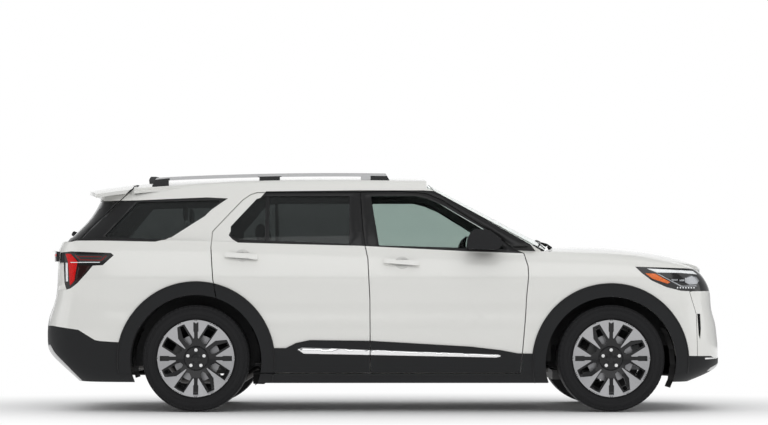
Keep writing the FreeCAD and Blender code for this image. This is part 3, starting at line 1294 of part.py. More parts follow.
def exhaust():
    """The exhaust: its pipe and the muffler across the rear."""
    y = EXHAUST_Y_SHARE * HALF_WIDTH
    points = [Vector(station(u), -y, z * HEIGHT) for u, z in EXHAUST_SHARES]
    pipes = [rod(a, b, OVERRUN / 2) for a, b in zip(points, points[1:])]
    joints = [Part.makeSphere(OVERRUN / 2, p) for p in points[1:-1]]
    return pipes[0].fuse(pipes[1:] + joints + [block(MUFFLER_SHARES)])


# The document: every piece as an object of its own


def pieces():
    """Every node's name and shape."""
    front_axis, rear_axis = hinge_axis(size("front_hinge_x")), hinge_axis(size("rear_hinge_x"))
    out = {}
    wing = fender()
    side = body_side()
    out["body_side_left"], out["body_side_right"] = side, mirrored(side)
    out["fenders"] = both_sides(wing)
    clip = front_clip()
    clip.update(rear_clip())
    out.update(clip)
    out["roof_panel"] = roof_panel()
    out["windshield"] = screen_layer()
    out["quarter_glass"] = both_sides(glass_layer(QUARTER_WINDOW_SHARES))
    out["roof_rails"] = both_sides(roof_rail())
    out["antenna"] = antenna()
    hood_panel, hood_pins = hood_assembly()
    out["floor_pan"] = floor_pan().fuse(hood_pins)
    out["hood"] = hood_panel
    out["cowl"] = cowl()
    gate_panel, gate_pins = gate_assembly()
    out["liftgate"] = gate_panel
    out["liftgate_glass"] = full(gate_glass())
    out["roof_header"] = roof_header().fuse(gate_pins)
    trim = cladding()
    doors = {
        "front": (FRONT_DOOR_SHARES, FRONT_DOOR_INNER_SHARES, FRONT_WINDOW_SHARES, front_axis),
        "rear": (REAR_DOOR_SHARES, REAR_DOOR_INNER_SHARES, REAR_WINDOW_SHARES, rear_axis),
    }
    for place, (outline, inner, window, axis) in doors.items():
        door = door_panel(outline, inner, window, axis).fuse(handle(HANDLE_SHARES[place]))
        glass, lower = glass_layer(window), door_trim(trim, outline)
        names = (f"{place}_door", f"{place}_door_glass", f"{place}_door_trim")
        for name, shape in zip(names, (door, glass, lower)):
            out[f"{name}_left"], out[f"{name}_right"] = shape, mirrored(shape)
    out["body_trim"] = both_sides(body_trim(trim))
    ear = mirror()
    out["mirror_left"], out["mirror_right"] = ear, mirrored(ear)
    for place, x in (("front", FRONT_AXLE_X), ("rear", REAR_AXLE_X)):
        centre = Vector(x, size("track") / 2, WHEEL_Z)
        wheel = {"rim": rim(centre), "tyre": tyre(centre), "disc": brake_disc(centre)}
        for name, shape in [(f"{place}_{kind}", shape) for kind, shape in wheel.items()]:
            out[f"{name}_left"], out[f"{name}_right"] = shape, mirrored(shape)
    hub = knuckle(Vector(FRONT_AXLE_X, size("track") / 2, WHEEL_Z))
    out["knuckle_left"], out["knuckle_right"] = hub, mirrored(hub)
    out["front_suspension"] = front_suspension()
    out["rear_suspension"] = rear_suspension()
    out["dashboard"] = dashboard()
    out["front_seats"] = both_sides(seat(0, 0, *SEAT_ACROSS_SHARES))
    out["second_row_seat"] = seat(ROW_STEP_SHARES[0], 0, -SEAT_ACROSS_SHARES[1], SEAT_ACROSS_SHARES[1])
    rise, half = THIRD_ROW_SHARES
    out["third_row_seat"] = seat(ROW_STEP_SHARES[1], rise, -half, half)
    out["steering_wheel"] = steering_wheel()
    out["engine_block"] = block(ENGINE_SHARES)
    out["fuel_tank"] = block(TANK_SHARES)
    out["exhaust"] = exhaust()
    return out


HEADER_HALF_SHARES = [(1.28, 0.5397), (1.42, 0.5397), (1.42, 0.29), (1.388, 0.26)]


def roof_header():
    """The cross member under the roof's rear edge, which carries the gate's hinges."""
    layer = thick_skin(ROOF, SKIN + SEAT_GAP, 2 * SKIN)
    return layer.common(plan_prism(symmetric(HEADER_HALF_SHARES)))


def write_parts():
    """Each shape as an object of the document, checked and then written as its own file."""
    made = []
    for name, shape in pieces().items():
        piece = doc.addObject("Part::Feature", name)
        piece.Label = name
        piece.Shape = shape
        piece.Placement = FreeCAD.Placement()
        made.append(piece)
    doc.recompute()
    for item in doc.Objects:
        if "Invalid" in item.State or "Error" in item.State:
            raise RuntimeError(f"{item.Label} failed: {item.State}")
    for piece in made:
        if piece.Shape.isNull() or not piece.Shape.isValid() or not piece.Shape.Solids:
            raise RuntimeError(f"{piece.Label} has no valid shape")
    os.makedirs("parts", exist_ok=True)
    for piece in made:
        piece.Shape.exportStep(f"parts/{piece.Label}.step")


write_parts()
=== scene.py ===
"""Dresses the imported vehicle: finishes, films, lamps, tyres, seats, wipers, and the studio round it."""
import math

import bmesh
import bpy
from mathutils import Euler, Matrix, Vector
from mathutils.bvhtree import BVHTree


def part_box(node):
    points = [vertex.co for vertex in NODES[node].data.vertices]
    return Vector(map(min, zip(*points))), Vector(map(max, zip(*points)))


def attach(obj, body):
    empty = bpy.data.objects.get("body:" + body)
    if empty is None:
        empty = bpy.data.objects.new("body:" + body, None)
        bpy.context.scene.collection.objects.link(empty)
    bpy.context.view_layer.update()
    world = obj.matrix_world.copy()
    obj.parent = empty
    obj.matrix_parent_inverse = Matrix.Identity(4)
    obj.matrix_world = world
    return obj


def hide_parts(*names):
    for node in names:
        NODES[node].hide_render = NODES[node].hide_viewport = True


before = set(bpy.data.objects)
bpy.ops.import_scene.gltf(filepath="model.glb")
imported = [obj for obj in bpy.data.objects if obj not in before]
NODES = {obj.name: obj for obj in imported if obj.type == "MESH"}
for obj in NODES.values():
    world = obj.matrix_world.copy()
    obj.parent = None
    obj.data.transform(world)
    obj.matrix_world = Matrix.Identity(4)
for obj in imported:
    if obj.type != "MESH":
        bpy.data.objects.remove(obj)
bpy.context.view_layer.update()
scene = bpy.context.scene

# Measures of the vehicle, in metres
HEIGHT = 1.765
FRONT_X, REAR_X = 1.655, -1.370
FRONT_OVERHANG, REAR_OVERHANG, WHEELBASE = 0.870, 1.155, 3.025
WHEEL_Z, WHEEL_Y = 0.390, 0.845
RIM_RADIUS, RIM_WIDTH = 0.284, 0.246
AXLES = (("front", FRONT_X), ("rear", REAR_X))
ARCHES = (("front", FRONT_X, 0.360), ("rear", REAR_X, 0.374))
SIDES = (("right", -1), ("left", 1))

# The camera, and what a pixel of the picture measures at a known distance from it
CAMERA_DISTANCE, CAMERA_HEIGHT, CAMERA_PITCH = 18.960, 0.800, 2.08
CAMERA_LENS, CAMERA_SENSOR = 115.7, 36
PIXEL_MM, PIXEL_DISTANCE = 7.294, 18.000
PICTURE_MIDDLE, PICTURE_HORIZON = 384, 302.3


def station(u):
    """x of a station: -1 front end, 0 front axle, 1 rear axle, 2 rear end."""
    if u < 0:
        return FRONT_X - u * FRONT_OVERHANG
    if u <= 1:
        return FRONT_X - u * WHEELBASE
    return REAR_X - (u - 1) * REAR_OVERHANG


def picture(points, depth=0.90):
    """Places (x, z) of the side view for places in the picture, on a plane depth metres off the middle."""
    scale = PIXEL_MM / (PIXEL_DISTANCE / (CAMERA_DISTANCE - depth)) / 1000
    return [Vector(((x - PICTURE_MIDDLE) * scale, CAMERA_HEIGHT - (y - PICTURE_HORIZON) * scale))
            for x, y in points]


def add_object(name, data):
    """A new object in the scene."""
    item = bpy.data.objects.new(name, data)
    scene.collection.objects.link(item)
    return item


def add_node(tree, kind, operation=None, **values):
    """A new shader node with its operation and with plain values on the sockets that are named."""
    node = tree.nodes.new(kind)
    if operation:
        node.operation = operation
    for socket, value in values.items():
        node.inputs[socket.replace("_", " ")].default_value = value
    return node


# Camera and light

camera_data = bpy.data.cameras.new("camera")
camera_data.sensor_width = CAMERA_SENSOR
camera_data.lens = CAMERA_LENS
camera_data.clip_end = 200
camera = add_object("camera", camera_data)
camera.location = (0, -CAMERA_DISTANCE, CAMERA_HEIGHT)
camera.rotation_euler = Euler((math.radians(90 + CAMERA_PITCH), 0, 0))
scene.camera = camera
scene.view_settings.view_transform = "Standard"

SIDE_LAMPS = [
    # name, place, size, power
    ("near", (1.5, -10, 5.5), (16, 7), 420),
    ("far", (-1, 10, 4.5), (16, 7), 220),
    ("front", (10, -2, 3.5), (7, 6), 120),
    ("rear", (-10, -2, 3.5), (7, 6), 120),
]


def lamp(name, place, target, size, power):
    """A soft square lamp that points at a place."""
    data = bpy.data.lights.new(name, "AREA")
    data.shape = "RECTANGLE"
    data.size, data.size_y = size
    data.energy = power
    item = add_object(name, data)
    item.location = place
    item.rotation_euler = (Vector(target) - Vector(place)).to_track_quat("-Z", "Y").to_euler()
    return item


def make_world():
    """A pale surround, which is plain white where the camera sees it, also through glass."""
    world = bpy.data.worlds.new("studio")
    scene.world = world
    world.use_nodes = True
    tree = world.node_tree
    tree.nodes.clear()
    link = tree.links.new
    out = add_node(tree, "ShaderNodeOutputWorld")
    pale = add_node(tree, "ShaderNodeBackground", Color=(0.80, 0.81, 0.82, 1), Strength=0.42)
    white = add_node(tree, "ShaderNodeBackground", Color=(1, 1, 1, 1), Strength=1.0)
    mix = add_node(tree, "ShaderNodeMixShader")
    path = add_node(tree, "ShaderNodeLightPath")
    either = add_node(tree, "ShaderNodeMath", "MAXIMUM")
    link(path.outputs["Is Camera Ray"], either.inputs[0])
    link(path.outputs["Is Transmission Ray"], either.inputs[1])
    link(either.outputs[0], mix.inputs[0])
    link(pale.outputs[0], mix.inputs[1])
    link(white.outputs[0], mix.inputs[2])
    link(mix.outputs[0], out.inputs[0])


top_lamp = lamp("top", (0, 0, 8.5), (0, 0, 0), (16, 11), 430)
top_lamp.visible_glossy = False
for name, place, size, power in SIDE_LAMPS:
    lamp(name, place, (0, 0, 0.8), size, power)
make_world()


# Finishes

MATERIALS = {}


def principled(name, colour, roughness, metallic=0.0, coat=0.0, coat_roughness=0.03, transmission=0.0,
               ior=1.5, sheen=0.0, specular=0.5):
    """A material with one Principled shader; its plain numbers sit on the shader's own sockets."""
    material = bpy.data.materials.new(name)
    material.use_nodes = True
    shader = material.node_tree.nodes["Principled BSDF"]
    values = {"Base Color": (*colour, 1), "Roughness": roughness, "Metallic": metallic, "Coat Weight": coat,
              "Coat Roughness": coat_roughness, "Transmission Weight": transmission, "IOR": ior,
              "Sheen Weight": sheen, "Specular IOR Level": specular}
    for socket, value in values.items():
        shader.inputs[socket].default_value = value
    MATERIALS[name] = material
    return material


def finish(name, colour, roughness, scale, bump, distance, spread=0.0, rough=0.0, kind="noise", detail=4.0,
           squeeze=(1, 1, 1), **values):
    """A finish by its name, with one texture that gives a bump and, if asked, uneven colour and roughness."""
    tree = principled(name, colour, roughness, **values).node_tree
    link = tree.links.new
    shader = tree.nodes["Principled BSDF"]
    coordinates = add_node(tree, "ShaderNodeTexCoord")
    mapping = add_node(tree, "ShaderNodeMapping", Scale=squeeze)
    link(coordinates.outputs["Object"], mapping.inputs[0])
    if kind == "cells":
        texture = add_node(tree, "ShaderNodeTexVoronoi", Scale=scale)
        value = texture.outputs["Distance"]
    else:
        texture = add_node(tree, "ShaderNodeTexNoise", Scale=scale, Detail=detail)
        value = texture.outputs["Fac"]
    link(mapping.outputs[0], texture.inputs["Vector"])
    height = add_node(tree, "ShaderNodeBump", Strength=bump, Distance=distance)
    link(value, height.inputs["Height"])
    link(height.outputs[0], shader.inputs["Normal"])
    if spread:
        ramp = add_node(tree, "ShaderNodeValToRGB")
        low, high = ramp.color_ramp.elements
        low.color = (*[c * (1 - spread) for c in colour], 1)
        high.color = (*[min(1, c * (1 + spread)) for c in colour], 1)
        low.position, high.position = 0.3, 0.7
        link(value, ramp.inputs[0])
        link(ramp.outputs[0], shader.inputs["Base Color"])
    if rough:
        span = add_node(tree, "ShaderNodeMapRange", To_Min=max(0.0, roughness - rough),
                        To_Max=min(1.0, roughness + rough))
        link(value, span.inputs["Value"])
        link(span.outputs[0], shader.inputs["Roughness"])


def make_paints():
    """Paint, the paint's darker copy for painted shade in the handles' cups, claddings, blacks and metals."""
    finish("paint", (0.80, 0.797, 0.765), 0.32, 900, 0.015, 0.0002, spread=0.025, rough=0.05, detail=2.0,
           coat=0.9, coat_roughness=0.08)
    # A darker copy of the paint: painted shade for the recessed cups round the door handles
    finish("painted_cup_shade", (0.68, 0.677, 0.650), 0.36, 900, 0.015, 0.0002, spread=0.025, coat=0.6,
           coat_roughness=0.1)
    finish("cladding", (0.0150, 0.0155, 0.0165), 0.58, 1400, 0.35, 0.0004, spread=0.10, rough=0.08,
           specular=0.2)
    finish("lip", (0.010, 0.010, 0.011), 0.45, 1400, 0.3, 0.0003, spread=0.10, specular=0.3)
    finish("gloss_black", (0.008, 0.008, 0.009), 0.14, 60, 0.02, 0.0004, rough=0.04, coat=0.4, specular=0.4)
    finish("pillar_black", (0.014, 0.014, 0.0145), 0.34, 60, 0.02, 0.0004, rough=0.04, coat=0.08,
           specular=0.3)
    finish("seal", (0.006, 0.006, 0.006), 0.75, 900, 0.3, 0.0003, spread=0.15, specular=0.15)
    finish("satin_rail", (0.46, 0.46, 0.465), 0.34, 400, 0.05, 0.0003, rough=0.08, squeeze=(0.05, 1, 1),
           metallic=0.9)
    finish("chrome", (0.80, 0.80, 0.80), 0.10, 200, 0.02, 0.0002, rough=0.05, metallic=1.0)
    finish("skid", (0.50, 0.50, 0.50), 0.35, 500, 0.1, 0.0003, spread=0.08, metallic=0.8)
    finish("machined", (0.42, 0.42, 0.43), 0.30, 700, 0.08, 0.0002, spread=0.06, rough=0.08, metallic=0.95,
           coat=0.3)
    finish("wheel_black", (0.010, 0.010, 0.011), 0.26, 200, 0.05, 0.0003, rough=0.06, coat=0.2, specular=0.3)
    finish("tyre", (0.015, 0.015, 0.016), 0.75, 700, 0.4, 0.0004, spread=0.18, rough=0.10, specular=0.2)
    finish("brake_disc", (0.36, 0.36, 0.37), 0.32, 500, 0.15, 0.0003, spread=0.12, rough=0.1, metallic=0.9)
    finish("cast", (0.10, 0.10, 0.10), 0.6, 250, 0.4, 0.0006, spread=0.2, metallic=0.4)
    finish("underbody", (0.015, 0.015, 0.016), 0.75, 200, 0.4, 0.0008, spread=0.2)
    finish("engine", (0.30, 0.30, 0.31), 0.5, 150, 0.3, 0.0006, spread=0.2, metallic=0.7)
    finish("exhaust", (0.050, 0.048, 0.047), 0.45, 90, 0.1, 0.0006, spread=0.25, rough=0.12, metallic=0.9)


def make_glass_and_lamps():
    """Window glass, the mirrors' glass and what shows behind the lamps' covers."""
    finish("clear_glass", (0.39, 0.446, 0.424), 0.0, 3, 0.01, 0.0002, transmission=1.0, ior=1.12)
    finish("screen_glass", (0.84, 0.90, 0.87), 0.0, 3, 0.01, 0.0002, transmission=1.0, ior=1.12)
    finish("dark_glass", (0.125, 0.136, 0.134), 0.02, 3, 0.01, 0.0002, transmission=0.93, ior=1.35)
    finish("mirror_glass", (0.72, 0.74, 0.75), 0.03, 30, 0.01, 0.0002, metallic=1.0)
    finish("lamp_silver", (0.42, 0.43, 0.45), 0.26, 90, 0.05, 0.0003, rough=0.06, metallic=1.0)
    finish("lamp_white", (0.93, 0.95, 0.97), 0.25, 120, 0.1, 0.0004, spread=0.04, coat=0.5)
    for name, colour, roughness, scale, bump, distance, spread, coat, specular in (
            ("amber", (0.80, 0.17, 0.035), 0.25, 160, 0.2, 0.0005, 0.15, 0.3, 0.3),
            ("red", (0.60, 0.003, 0.003), 0.25, 220, 0.25, 0.0005, 0.25, 0.1, 0.15),
            ("red_dark", (0.016, 0.001, 0.001), 0.2, 260, 0.3, 0.0005, 0.6, 0.1, 0.25),
            ("red_line", (0.24, 0.008, 0.008), 0.25, 300, 0.2, 0.0003, 0.3, 0.1, 0.3),
            ("smoke", (0.006, 0.005, 0.0055), 0.16, 260, 0.2, 0.0004, 0.5, 0.15, 0.3),
            ("smoke_grey", (0.034, 0.038, 0.038), 0.2, 260, 0.2, 0.0004, 0.3, 0.1, 0.3)):
        finish(name, colour, roughness, scale, bump, distance, spread, kind="cells", coat=coat,
               specular=specular)


def make_trims():
    """What the cabin is lined with."""
    finish("cabin_plastic", (0.026, 0.026, 0.028), 0.6, 1500, 0.5, 0.0004, spread=0.10, kind="cells",
           specular=0.3)
    finish("carpet", (0.030, 0.030, 0.032), 0.95, 1800, 0.8, 0.001, spread=0.3, sheen=0.3)
    finish("leather", (0.034, 0.033, 0.033), 0.48, 420, 0.45, 0.0006, spread=0.16, rough=0.08, kind="cells",
           coat=0.05, specular=0.35)
    finish("stitch_dark", (0.030, 0.029, 0.028), 0.6, 1500, 0.5, 0.0003, spread=0.2)
    finish("lining", (0.060, 0.060, 0.062), 0.8, 1200, 0.4, 0.0004, spread=0.12)
    finish("headliner", (0.10, 0.10, 0.10), 0.95, 1600, 0.6, 0.0006, spread=0.15, sheen=0.2)


make_paints()
make_glass_and_lamps()
make_trims()


# Which CAD nodes, and which of their faces, take which finish

PLAIN_NODES = {
    "cladding": ["cowl", "body_trim", "front_door_trim_{side}", "rear_door_trim_{side}"],
    "gloss_black": ["headlamps", "grille", "antenna"],
    "smoke": ["tail_lamps"],
    "screen_glass": ["windshield"],
    "clear_glass": ["front_door_glass_{side}"],
    "dark_glass": ["quarter_glass", "liftgate_glass", "rear_door_glass_{side}"],
    "cabin_plastic": ["roof_header", "dashboard", "steering_wheel", "fuel_tank"],
    "leather": ["front_seats", "second_row_seat", "third_row_seat"],
    "cast": ["front_suspension", "rear_suspension", "knuckle_{side}"],
    "engine": ["engine_block"],
    "exhaust": ["exhaust"],
    "tyre": ["front_tyre_{side}", "rear_tyre_{side}"],
    "brake_disc": ["front_disc_{side}", "rear_disc_{side}"],
}
ARCH_LINED = 0.515  # how far from an arch's middle the body sides count as its lining
HUB_SHARE, SPOKE_SHARE = 0.27, 0.986  # shares of the rim's radius
LUG_REACH, LUG_OUT = 0.045, 0.105


def paint_faces(node, names, choose):
    """Gives each face of a node the finish that choose names for its middle and normal."""
    mesh = NODES[node].data
    mesh.materials.clear()
    for name in names:
        mesh.materials.append(MATERIALS[name])
    for face in mesh.polygons:
        face.material_index = names.index(choose(face.center, face.normal))


def skin_or_lining(sign):
    """Paint outside, lining on what faces the cabin, black in the wheel arches and by the engine."""
    def choose(middle, normal):
        out = normal.y * sign
        in_arch = any(math.hypot(middle.x - x, middle.z - z) < ARCH_LINED for _, x, z in ARCHES)
        if in_arch and out < 0.5:
            return "seal"
        if out < -0.15 and middle.z > 0.30:
            return "lining"
        if middle.x > 0.95 and middle.z < 1.05 and out < 0.3:
            return "seal"
        return "paint"
    return choose


def end_face(middle_x, outer):
    """The outer finish outside, black on what faces the body's inside or a wheel arch."""
    def choose(middle, normal):
        outward = normal.x * (middle.x - middle_x) + normal.y * middle.y
        return "seal" if outward < -0.05 else outer
    return choose


def rim_face(x, sign):
    """Machined raised faces, bright lug nuts, and gloss black on what lies lower on the dish."""
    def choose(middle, normal):
        reach = math.hypot(middle.x - x, middle.z - WHEEL_Z)
        share = reach / RIM_RADIUS
        out = middle.y * sign - WHEEL_Y
        if share < HUB_SHARE and normal.y * sign > 0.5:
            return "chrome" if reach > LUG_REACH and out > LUG_OUT else "wheel_black"
        dish = (0.405 + 0.10 * max(0.0, (share - 0.24) / 0.745)) * RIM_WIDTH - 0.0045
        raised_face = normal.y * sign > 0.75 and out > dish and share < SPOKE_SHARE
        return "machined" if raised_face else "wheel_black"
    return choose


def mirror_face(middle, normal):
    return "mirror_glass" if normal.x < -0.85 and abs(middle.y) > 0.97 else "gloss_black"


def roof_face(middle, normal):
    return "headliner" if normal.z < -0.25 else "paint"


def gate_face(middle, normal):
    return "lining" if normal.x > 0.3 else "paint"


def hood_face(middle, normal):
    return "seal" if normal.z < -0.25 and middle.z > 0.9 else "paint"


def fender_face(middle, normal):
    return "seal" if normal.y * (1 if middle.y > 0 else -1) < -0.1 else "paint"


def floor_face(middle, normal):
    in_cabin = middle.z > 0.33 and -2.35 < middle.x < 1.1
    return "carpet" if normal.z > 0.5 and in_cabin else "underbody"


def rail_face(middle, normal):
    return "gloss_black" if abs(normal.z) < 0.9 and abs(normal.y) < 0.9 and normal.z < 0.2 else "satin_rail"


for name, templates in PLAIN_NODES.items():
    for template in templates:
        for node in sorted({template.format(side=side) for side, _ in SIDES}):
            NODES[node].data.materials.clear()
            NODES[node].data.materials.append(MATERIALS[name])
for side, sign in SIDES:
    for name in ("body_side", "front_door", "rear_door"):
        paint_faces(f"{name}_{side}", ["paint", "lining", "seal"], skin_or_lining(sign))
    for end, x in AXLES:
        paint_faces(f"{end}_rim_{side}", ["machined", "wheel_black", "chrome"], rim_face(x, sign))
    paint_faces(f"mirror_{side}", ["gloss_black", "mirror_glass"], mirror_face)
for end, middle_x in (("front", 1.75), ("rear", -1.55)):
    for piece, outer in (("bumper", "paint"), ("valance", "cladding")):
        paint_faces(f"{end}_{piece}", [outer, "seal"], end_face(middle_x, outer))
paint_faces("roof_panel", ["paint", "headliner"], roof_face)
paint_faces("liftgate", ["paint", "lining"], gate_face)
paint_faces("hood", ["paint", "seal"], hood_face)
paint_faces("fenders", ["paint", "seal"], fender_face)
paint_faces("floor_pan", ["underbody", "carpet"], floor_face)
paint_faces("roof_rails", ["satin_rail", "gloss_black"], rail_face)


# Pieces made from the skin of a node, along lines, or between two sheets

def inside(point, outline):
    """Whether a point of the side view lies in an outline."""
    x, z = point
    hit = False
    last = outline[-1]
    for this in outline:
        if (this[1] > z) != (last[1] > z):
            if x < (last[0] - this[0]) * (z - this[1]) / (last[1] - this[1]) + this[0]:
                hit = not hit
        last = this
    return hit


def skin_faces(node, chooser):
    """A bmesh with copies of the node's faces that chooser keeps."""
    bm = bmesh.new()
    bm.from_mesh(NODES[node].data)
    bmesh.ops.delete(bm, geom=[f for f in bm.faces if not chooser(f)], context="FACES")
    return bm


def cut_by(bm, outline):
    """Cuts the faces along an outline's edges, each a plane along Y, and keeps what lies in it."""
    last = Vector(outline[-1])
    for this in [Vector(p) for p in outline]:
        along = this - last
        if along.length > 1e-6:
            normal = Vector((along.y, 0, -along.x)).normalized()
            low_x, high_x = sorted((this.x, last.x))
            low_z, high_z = sorted((this.y, last.y))
            near = [f for f in bm.faces
                    if min(v.co.x for v in f.verts) <= high_x and max(v.co.x for v in f.verts) >= low_x
                    and min(v.co.z for v in f.verts) <= high_z and max(v.co.z for v in f.verts) >= low_z]
            geom = set(near)
            for f in near:
                geom.update(f.edges)
                geom.update(f.verts)
            bmesh.ops.bisect_plane(bm, geom=list(geom), dist=1e-7, plane_co=(last.x, 0, last.y),
                                   plane_no=normal)
        last = this
    out = [f for f in bm.faces if not inside((f.calc_center_median().x, f.calc_center_median().z), outline)]
    bmesh.ops.delete(bm, geom=out, context="FACES")


def add_mesh(name, bm, material, body, flat=False):
    """A new piece from a bmesh, which rides on a body."""
    mesh = bpy.data.meshes.new(name)
    bm.normal_update()
    bm.to_mesh(mesh)
    bm.free()
    item = add_object(name, mesh)
    mesh.materials.append(MATERIALS[material])
    if not flat:
        for face in mesh.polygons:
            face.use_smooth = True
    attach(item, body)
    return item


def raised(name, bm, material, body, lift, sink=0.0008):
    """Lifts cut faces off the skin they came from and closes them down into it round their edge."""
    if not bm.faces:
        bm.free()
        return None
    bmesh.ops.remove_doubles(bm, verts=bm.verts[:], dist=1e-6)
    bm.normal_update()
    for vertex in bm.verts:
        vertex.co += vertex.normal * lift
    rim = [e for e in bm.edges if len(e.link_faces) == 1]
    made = bmesh.ops.extrude_edge_only(bm, edges=rim)
    for vertex in [v for v in made["geom"] if isinstance(v, bmesh.types.BMVert)]:
        near = [e.other_vert(vertex) for e in vertex.link_edges if e.other_vert(vertex) not in made["geom"]]
        if near:
            vertex.co -= near[0].normal * (lift + sink)
    return add_mesh(name, bm, material, body, flat=True)


def film(name, node, body, outline, material, side, lift=0.0012, least=0.25, inner=0.3):
    """A thin film on faces of a node that look outward, within an outline of the side view."""
    sign = 1 if side == "left" else -1
    bm = skin_faces(node, lambda f: f.normal.y * sign > least and f.calc_center_median().y * sign > inner)
    cut_by(bm, outline)
    return raised(name, bm, material, body, lift)


def rear_film(name, outline, material, lift):
    """The same on the liftgate, within an outline (y, z) of the view from behind."""
    swap = Matrix(((0, 1, 0, 0), (1, 0, 0, 0), (0, 0, 1, 0), (0, 0, 0, 1)))
    bm = skin_faces("liftgate", lambda f: -f.normal.x > 0.3)
    bm.transform(swap)
    cut_by(bm, outline)
    bm.transform(swap)
    return raised(name, bm, material, "liftgate", lift)


def tube_along(name, runs, radius, material, body, closed=False, roundness=2):
    """Round beads along runs of points, all one piece."""
    curve = bpy.data.curves.new(name, "CURVE")
    curve.dimensions = "3D"
    curve.bevel_depth = radius
    curve.bevel_resolution = roundness
    for run in runs:
        line = curve.splines.new("POLY")
        line.points.add(len(run) - 1)
        for target, point in zip(line.points, run):
            target.co = (*point, 1)
        line.use_cyclic_u = closed
    item = add_object(name, curve)
    curve.materials.append(MATERIALS[material])
    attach(item, body)
    return item


def unbroken(points, least):
    """The runs of more than least neighbours in a list with gaps (None), each after the place it stops at."""
    runs, run = [], []
    for k, point in enumerate([*points, None]):
        if point is not None:
            run.append(point)
            continue
        if len(run) > least:
            runs.append(("end" if k == len(points) else k, run))
        run = []
    return runs


def shell(bm, lower, upper):
    """Faces over two equal grids of points and along the rim that joins them."""
    rows, columns = len(lower), len(lower[0])
    for i in range(rows - 1):
        for j in range(columns - 1):
            for sheet in (lower, upper):
                bm.faces.new((sheet[i][j], sheet[i + 1][j], sheet[i + 1][j + 1], sheet[i][j + 1]))
        for j in (0, columns - 1):
            bm.faces.new((lower[i][j], lower[i + 1][j], upper[i + 1][j], upper[i][j]))
    for i in (0, rows - 1):
        for j in range(columns - 1):
            bm.faces.new((lower[i][j], lower[i][j + 1], upper[i][j + 1], upper[i][j]))
    bmesh.ops.recalc_face_normals(bm, faces=bm.faces[:])


def skin_tree(*names):
    """A search tree of several nodes' meshes."""
    bm = bmesh.new()
    for name in names:
        bm.from_mesh(NODES[name].data)
    tree = BVHTree.FromBMesh(bm)
    bm.free()
    return tree


# Films, bands and lamp zones; their outlines are places in the picture

GLASS_BAND = picture([
    (537.5, 253.6), (518.2, 253.3), (471, 251.7), (360, 246.0), (284.3, 244.1), (238.0, 242.8), (232.5, 239.5),
    (228.6, 235.5), (229.6, 232.6), (264.9, 190.4), (360, 189.4), (423.8, 189.4), (437.8, 190.3), (529.6, 243.6),
])
QUARTER_BAND = picture([
    (226.4, 197.7), (222.0, 200.6), (205.0, 213.0), (177.9, 232.3), (165.6, 239.5), (155.2, 241.9),
    (100.1, 240.7), (66.0, 240.6), (90.5, 218.9), (99.5, 199.3), (118.5, 199.4), (134.8, 199.3), (205, 196.6),
])
GATE_BAND = picture([
    (150.0, 199.0), (140.0, 241.2), (58.0, 241.2), (58.0, 236.0), (82.0, 218.0), (94.0, 199.2), (118.5, 199.4),
])
STRIP = picture([
    (297.6, 349.6), (302.0, 347.4), (498.2, 354.4), (501.4, 356.4), (496.0, 357.4), (304.0, 353.6),
], 0.98)
DIVIDER = picture([(265.3, 186.0), (269.2, 186.0), (269.2, 246.0), (265.3, 246.0)], 0.84)
BUMPER_SLIT = picture([(697.2, 313.9), (700.3, 313.9), (700.8, 328.8), (699.8, 339.0), (698.4, 334.9)], 0.86)
FRONT_LINE = picture([(702.6, 357.5), (716.5, 356.3), (717.5, 358.6), (702.8, 359.0)], 0.70)
FRONT_SKID = picture([
    (702.8, 366.3), (710.3, 363.2), (714.6, 361.4), (721.0, 361.4), (721.0, 366.7), (699.5, 369.8),
], 0.30)
REAR_SKID = picture([
    (44.0, 344.5), (54.5, 344.5), (59.5, 352.0), (74.5, 366.5), (87.0, 379.5), (87.0, 384.0), (78.0, 384.0),
    (44.0, 356.0),
], 0.55)
LAMP_EDGE = picture([
    (55.0, 262.6), (61.8, 262.6), (63.2, 283.0), (65.4, 289.3), (66.0, 293.0), (55.0, 293.0),
], 0.93)
ARCH_DISC = [(FRONT_X + 0.53 * math.cos(k * math.pi / 16), 0.360 + 0.53 * math.sin(k * math.pi / 16))
             for k in range(32)]
SIDE_FILMS = [
    # name, node, body, outline, finish, how it lies
    ("front_window_frame_{side}", "front_door_{side}", "front_door_{side}", GLASS_BAND, "pillar_black", {}),
    ("rear_window_frame_{side}", "rear_door_{side}", "rear_door_{side}", GLASS_BAND, "pillar_black", {}),
    ("front_rocker_strip_{side}", "front_door_trim_{side}", "front_door_{side}", STRIP, "chrome",
     {"lift": 0.006}),
    ("rear_rocker_strip_{side}", "rear_door_trim_{side}", "rear_door_{side}", STRIP, "chrome",
     {"lift": 0.006}),
    ("pillar_film_{side}", "body_side_{side}", "root", GLASS_BAND, "pillar_black", {"least": 0.1}),
    ("quarter_film_{side}", "body_side_{side}", "root", QUARTER_BAND, "pillar_black", {"least": 0.1}),
    ("gate_film_{side}", "liftgate", "liftgate", GATE_BAND, "pillar_black", {"least": 0.03}),
    ("bumper_slit_{side}", "front_bumper", "root", BUMPER_SLIT, "seal", {"least": 0.0}),
    ("rear_skid_{side}", "rear_valance", "root", REAR_SKID, "skid",
     {"lift": 0.002, "least": -0.02, "inner": 0.0}),
    ("arch_black_{side}", "body_side_{side}", "root", ARCH_DISC, "seal", {"least": 0.1}),
    ("lamp_edge_{side}", "tail_lamps", "root", LAMP_EDGE, "paint", {"lift": 0.0016, "least": 0.03}),
    ("window_divider_{side}", "rear_door_glass_{side}", "rear_door_{side}", DIVIDER, "pillar_black",
     {"lift": 0.002, "least": 0.1}),
    ("front_line_{side}", "front_valance", "root", FRONT_LINE, "chrome",
     {"lift": 0.003, "least": 0.0, "inner": 0.2}),
    ("front_skid_{side}", "front_valance", "root", FRONT_SKID, "skid",
     {"lift": 0.002, "least": -0.05, "inner": 0.0}),
]
